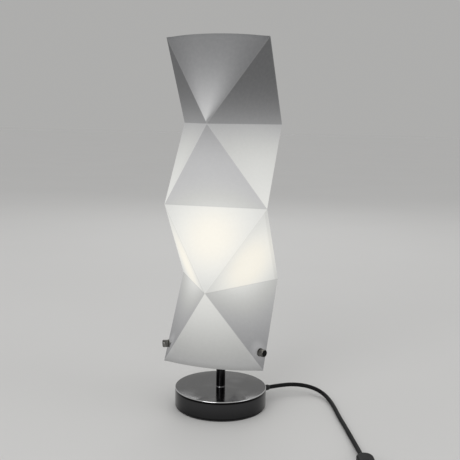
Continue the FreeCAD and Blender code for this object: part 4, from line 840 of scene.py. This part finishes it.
def fold_panel(shape, layers, apex, edge, free, seam):
    """One triangle of paper from its apex to its level edge, with its distances to its folds."""
    run_layer, level_layer = layers
    sides = (edge[0], edge[-1])
    facing = (sides[0] - apex).cross(sides[1] - apex).normalized()
    middle = (apex + sides[0] + sides[1]) / 3
    inward = -facing if facing.dot(Vector((middle.x, middle.y, 0))) > 0 else facing
    rows = [[apex]]
    for row in range(1, ROWS + 1):
        share = row / ROWS
        columns = ROWS if free else row
        line = []
        for column in range(columns + 1):
            side = column / columns
            level_spot = edge[column] if free else sides[0].lerp(sides[1], side)
            # The factor 27 makes the dip 1 in the middle of the triangle.
            dip = 0 if free else 27 * (1 - share) * share * side * share * (1 - side)
            line.append(apex.lerp(level_spot, share) + inward * SAG * dip)
        rows.append(line)
    verts = [[shape.verts.new(spot) for spot in line] for line in rows]
    faces = []
    for row in range(ROWS):
        near, far = verts[row], verts[row + 1]
        if len(near) == 1:
            faces += [(near[0], far[i], far[i + 1]) for i in range(len(far) - 1)]
        elif free:
            faces += [(near[i], far[i], far[i + 1], near[i + 1]) for i in range(len(far) - 1)]
        else:
            faces += [(near[i], far[i], far[i + 1]) for i in range(len(far) - 1)]
            faces += [(near[i], far[i + 1], near[i + 1]) for i in range(len(near) - 1)]
    for corners in faces:
        face = shape.faces.new(corners)
        face.normal_update()
        if face.normal.dot(inward) > 0:
            face.normal_flip()
        for loop in face.loops:
            spot = loop.vert.co
            loop[run_layer].uv = (from_line(spot, apex, sides[0]), from_line(spot, apex, sides[1]))
            level_gap = FAR_FROM_FOLDS if free else from_line(spot, sides[0], sides[1])
            seam_gap = from_line(spot, *seam) if seam else FAR_FROM_FOLDS
            loop[level_layer].uv = (level_gap, seam_gap)


third = bmesh.new()
fold_layers = (third.loops.layers.uv.new("fold_runs"), third.loops.layers.uv.new("fold_levels"))
levels = [[fold_corner(level, step) for step in range(3)] for level in range(5)]
top_edge = bowed_edge(levels[3][0], TOP_BOW, True)
foot_edge = bowed_edge(levels[1][0], FOOT_BOW, False)
for apex, edge, free, seam in ((levels[3][0], top_edge, True, None),
                               (levels[1][0], foot_edge, True, None),
                               (top_edge[-1], levels[3][:2], False, None),
                               (foot_edge[-1], levels[1][:2], False, None),
                               (levels[2][1], levels[1][:2], False, (levels[2][1], levels[1][1])),
                               (levels[1][0], levels[2][:2], False, None),
                               (levels[3][0], levels[2][:2], False, None),
                               (levels[2][1], levels[3][:2], False, None)):
    fold_panel(third, fold_layers, apex, edge, free, seam)
third_mesh = bpy.data.meshes.new("shade_third")
third.to_mesh(third_mesh)
third.free()

# The paper's painted glow, which stands for the bulb's light through it: light straight from the
# globe, which the waist under the top storey shades off, a little light caught round the waist's
# corners, and a glow from inside the tower that fades up and down. It is painted stronger round
# the studs and on the paper's inner side.
WAIST_HEIGHT = SHADE_FOOT + 3 * STOREY
WAIST_RISE = WAIST_HEIGHT - BULB_CENTRE.z
WAIST_REACH = CORNER_RADIUS / 2
WAIST_SHIFT = (0.0030, 0.0, 0.0)
WAIST_DARK = -2.0
WAIST_CLEAR = 1.2
CAUGHT_REACH = 0.050
CAUGHT_SHARE = 0.33
GLOW_HEIGHT = 0.3158
GLOW_DOWN = 0.172
GLOW_UP = 0.056
GLOW_SHARE = 0.531
STUD_REACH = 0.0655
STUD_GLOW_NEAR = 0.005
STUD_GLOW_FAR = 0.017
STUD_GLOW_GAIN = 0.6
INSIDE_GAIN = 0.9
LIGHT_FALL = 104
LIGHT_CURVE = 0.85
SEAM_FLAP = 0.0052
FLAP_DIM = 0.09
VALLEY_DIM = 0.14
RIDGE_DIM = 0.05
CLOUD_DIM = 0.03

paper = Finish("folded_paper")
paper_place = paper.place()
paper_height = paper.place("Z")
paper_facing = paper.node("NewGeometry", {}, {}, "True Normal")
from_bulb = paper.vector("SUBTRACT", paper_place, tuple(BULB_CENTRE))
bulb_distance = paper.vector("LENGTH", from_bulb, out="Value")
spread = paper.vector("MULTIPLY", paper_place, (1, 1, 0))
outer = paper.vector("DOT_PRODUCT", spread, paper_facing, out="Value").sign()
bulb_slant = outer * paper.vector("DOT_PRODUCT", from_bulb, paper_facing, out="Value")
bulb_share = ((bulb_slant + GLOBE_RADIUS).greater(0).lesser(2 * GLOBE_RADIUS) ** 2
              / (4 * GLOBE_RADIUS) + (bulb_slant - GLOBE_RADIUS).greater(0))
glow_rise = paper_height - GLOW_HEIGHT
inner_glow = (-1 * (glow_rise.lesser(0) / GLOW_DOWN) ** 2
              - (glow_rise.greater(0) / GLOW_UP) ** 2).exponential() * GLOW_SHARE
stud_gap, fold_gap, waist_reach = 1.0, 1.0, -1.0
above_bulb = (paper_height - BULB_CENTRE.z).greater(WAIST_RISE)
waist_cross = paper.vector("MULTIPLY_ADD", spread, (above_bulb / WAIST_RISE) ** -1, WAIST_SHIFT)
for azimuth in STUD_AZIMUTHS.values():
    foot_way = level_way(azimuth)
    stud_spot = foot_way * STUD_REACH + Vector((0, 0, STUD_HEIGHT))
    waist_corner = foot_way * -CORNER_RADIUS + Vector((0, 0, WAIST_HEIGHT))
    stud_gap = paper.vector("DISTANCE", paper_place, tuple(stud_spot), out="Value").lesser(stud_gap)
    fold_gap = paper.vector("DISTANCE", paper_place, tuple(waist_corner),
                            out="Value").lesser(fold_gap)
    waist_reach = paper.vector("DOT_PRODUCT", waist_cross, tuple(foot_way),
                               out="Value").greater(waist_reach)
stud_painted_glow = 1 - stud_gap.rise(STUD_GLOW_NEAR, STUD_GLOW_FAR)
half_shadow = (above_bulb - (WAIST_RISE - 0.0005)) * GLOBE_RADIUS / above_bulb
past_waist = ((WAIST_REACH - waist_reach) / half_shadow).rise(WAIST_DARK, WAIST_CLEAR)
upper = paper_height.rise(WAIST_HEIGHT - 0.0002, WAIST_HEIGHT + 0.0006)
caught = (-1 * (fold_gap / CAUGHT_REACH) ** 2).exponential() * upper \
    * bulb_slant.rise(GLOBE_RADIUS, 2 * GLOBE_RADIUS) * CAUGHT_SHARE
bulb_light = bulb_share / (bulb_distance ** 3)
inside = 0.5 - 0.5 * outer
direct = ((bulb_light / LIGHT_FALL) ** LIGHT_CURVE + caught) * (1 - upper * (1 - past_waist))
glow = 1 - (-1 * (direct + inner_glow) * (1 + INSIDE_GAIN * inside)
            * (1 + STUD_GLOW_GAIN * stud_painted_glow)).exponential()
fold_runs = paper.node("Attribute", {"attribute_name": "fold_runs"}, {}, "Vector")
fold_levels = paper.node("Attribute", {"attribute_name": "fold_levels"}, {}, "Vector")
run_gap = paper.node("SeparateXYZ", {}, {0: fold_runs}, "X").lesser(
    paper.node("SeparateXYZ", {}, {0: fold_runs}, "Y"))
level_gap = paper.node("SeparateXYZ", {}, {0: fold_levels}, "X")
seam_gap = paper.node("SeparateXYZ", {}, {0: fold_levels}, "Y")
# Painted light along the folds: at the ridges, the level folds and the glue flap the glow is
# dimmed, painted shade, and at the ridges the base colour is lifted, a painted highlight.
ridge_painted_light = 1 - run_gap.rise(0.0003, 0.0011)
valley_painted_shade = 1 - level_gap.rise(0.0002, 0.0010)
flap_painted_shade = 1 - seam_gap.rise(SEAM_FLAP - 0.0004, SEAM_FLAP + 0.0004)
fibres = paper.noise(260.0, 4.0)
clouds = paper.noise(14.0, 3.0).rise(0.25, 0.8)
painted_fold_shade_and_clouds = 1 - FLAP_DIM * flap_painted_shade - VALLEY_DIM * valley_painted_shade - CLOUD_DIM * clouds - RIDGE_DIM * ridge_painted_light
plain_tint = paper.blend(bulb_light.rise(8.0, 36.0), (0.966, 0.962, 0.968), (0.968, 0.970, 0.928))
tint = paper.blend(bulb_light.rise(60.0, 340.0), plain_tint, (1.03, 0.985, 0.868))
lit = paper.blend(glow * painted_fold_shade_and_clouds, (0.0, 0.0, 0.0), tint)
# The paper's base colour is written far darker than white paper: painted shade, lifted by the
# painted glow.
paper_base_painted_shade = paper.blend(fibres.rise(0.3, 0.75), (0.147, 0.149, 0.153), (0.163, 0.164, 0.167))
paper.surface({
    "Base Color": paper.blend(ridge_painted_light * 0.15, paper_base_painted_shade, (0.42, 0.42, 0.41)),
    "Roughness": 0.78 + 0.1 * fibres,
    "Specular IOR Level": 0.25,
    "Emission Color": lit, "Emission Strength": 0.84,
    "Normal": paper.bump(fibres, 0.00012, 0.35)})

tower = Growth("shade_tower", {"Sheets": 3, "Weld": 0.00002})
tower_posts = tower.node("GeometryNodeMeshLine", {}, {"Count": tower.given["Sheets"],
                                                      "Offset": (0.0, 0.0, 0.0)})[0]
tower_index = tower.node("GeometryNodeInputIndex", {}, {})[0]
tower_turn = tower.maths("DIVIDE", tower.maths("MULTIPLY", tower_index, 2 * math.pi),
                         tower.given["Sheets"])
tower_angles = tower.node("ShaderNodeCombineXYZ", {}, {"Z": tower_turn})[0]
tower_rotation = tower.node("FunctionNodeEulerToRotation", {}, {0: tower_angles})[0]
tower_copies = tower.node("GeometryNodeInstanceOnPoints", {}, {
    "Points": tower_posts, "Instance": tower.given["Geometry"], "Rotation": tower_rotation})[0]
tower_real = tower.node("GeometryNodeRealizeInstances", {}, {"Geometry": tower_copies})[0]
tower_whole = tower.node("GeometryNodeMergeByDistance", {}, {
    "Geometry": tower_real, "Distance": tower.given["Weld"]})[0]
shade_shape = tower.grow("shade_tower", tower_whole, paper, third_mesh)
for face in shade_shape.faces:
    face.smooth = True
for edge in shade_shape.edges:
    edge.smooth = edge.calc_face_angle(0.0) < FOLD_ANGLE
shade_mesh = bpy.data.meshes.new("paper_shade")
shade_shape.to_mesh(shade_mesh)
shade_shape.free()
shade_mesh.materials.append(paper.material)
shade = bpy.data.objects.new("paper_shade", shade_mesh)
scene.collection.objects.link(shade)
fold_round = shade.modifiers.new("fold_round", "BEVEL")
fold_round.limit_method = "ANGLE"
fold_round.angle_limit = FOLD_ANGLE
fold_round.width = FOLD_WIDTH
fold_round.segments = 2
paper_wall = shade.modifiers.new("paper_wall", "SOLIDIFY")
paper_wall.thickness = PAPER_WALL
paper_wall.offset = -1.0
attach(shade, "stand")
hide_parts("shade")


# ---------------------------------------------------------------- inline switch
# A rocker switch in a slim black housing of two moulded halves that screw together round the
# lead. The rocker turns on a steel pin and has fine moulded ribs for the thumb.

PIVOT_RISE = 0.0057
ROCKER_TILT = math.radians(8)
RIB_RISE = 0.0036
RIB_SLOPE = math.atan2(0.001, 0.0092)

case_plastic = Finish("satin_black_plastic")
case_skin = case_plastic.noise(700.0, 3.0)
case_rub = case_plastic.noise(60.0, 5.0).rise(0.5, 0.8)
case_plastic.surface({
    "Base Color": case_plastic.blend(case_rub, (0.008, 0.008, 0.0085), (0.016, 0.016, 0.0165)),
    "Roughness": 0.40 + 0.16 * case_rub, "Specular IOR Level": 0.12,
    "Normal": case_plastic.bump(case_skin, 0.00008, 0.35)})
dress(case_plastic, "switch_lower", "switch_upper", "switch_rocker")
dress(bright_steel, "switch_pivot", "switch_screws")
dress(brass, "switch_terminals", "switch_contact_strip")

on_rocker = Matrix.Translation(switch_middle + Vector((0, 0, PIVOT_RISE))) \
    @ Matrix.Rotation(math.radians(SWITCH_AZIMUTH), 4, "Z") @ Matrix.Rotation(-ROCKER_TILT, 4, "Y")
ribs = Growth("rocker_ribs", {"Ribs": 4, "Pitch": 0.0013, "Width": 0.0066, "Thickness": 0.0005})
rib_pitch = ribs.node("ShaderNodeCombineXYZ", {}, {"X": ribs.given["Pitch"]})[0]
rib_row = ribs.node("GeometryNodeMeshLine", {}, {"Count": ribs.given["Ribs"],
                                                 "Offset": rib_pitch})[0]
rib_size = ribs.node("ShaderNodeCombineXYZ", {}, {
    "X": ribs.given["Thickness"], "Y": ribs.given["Width"], "Z": ribs.given["Thickness"]})[0]
rib_bar = ribs.node("GeometryNodeMeshCube", {}, {"Size": rib_size})[0]
rib_copies = ribs.node("GeometryNodeInstanceOnPoints", {}, {"Points": rib_row,
                                                            "Instance": rib_bar})[0]
rib_shape = ribs.grow("rocker_ribs", rib_copies, case_plastic)
for half, slope, first_rib in (("far", -RIB_SLOPE, 0.0038), ("near", RIB_SLOPE, -0.0077)):
    on_half = on_rocker @ Matrix.Translation((0, 0, RIB_RISE)) \
        @ Matrix.Rotation(slope, 4, "Y") @ Matrix.Translation((first_rib, 0, 0))
    finish_piece(f"rocker_ribs_{half}", rib_shape.copy(), case_plastic, "rocker",
                 place=on_half)
rib_shape.free()


# ---------------------------------------------------------------- plug
# A flat two-pin mains plug, moulded in one piece onto the lead, with a short tapered boot. Its
# two round pins are brass, 19 mm apart.

dress(case_plastic, "plug_body", "plug_boot")
dress(brass, "plug_pins")
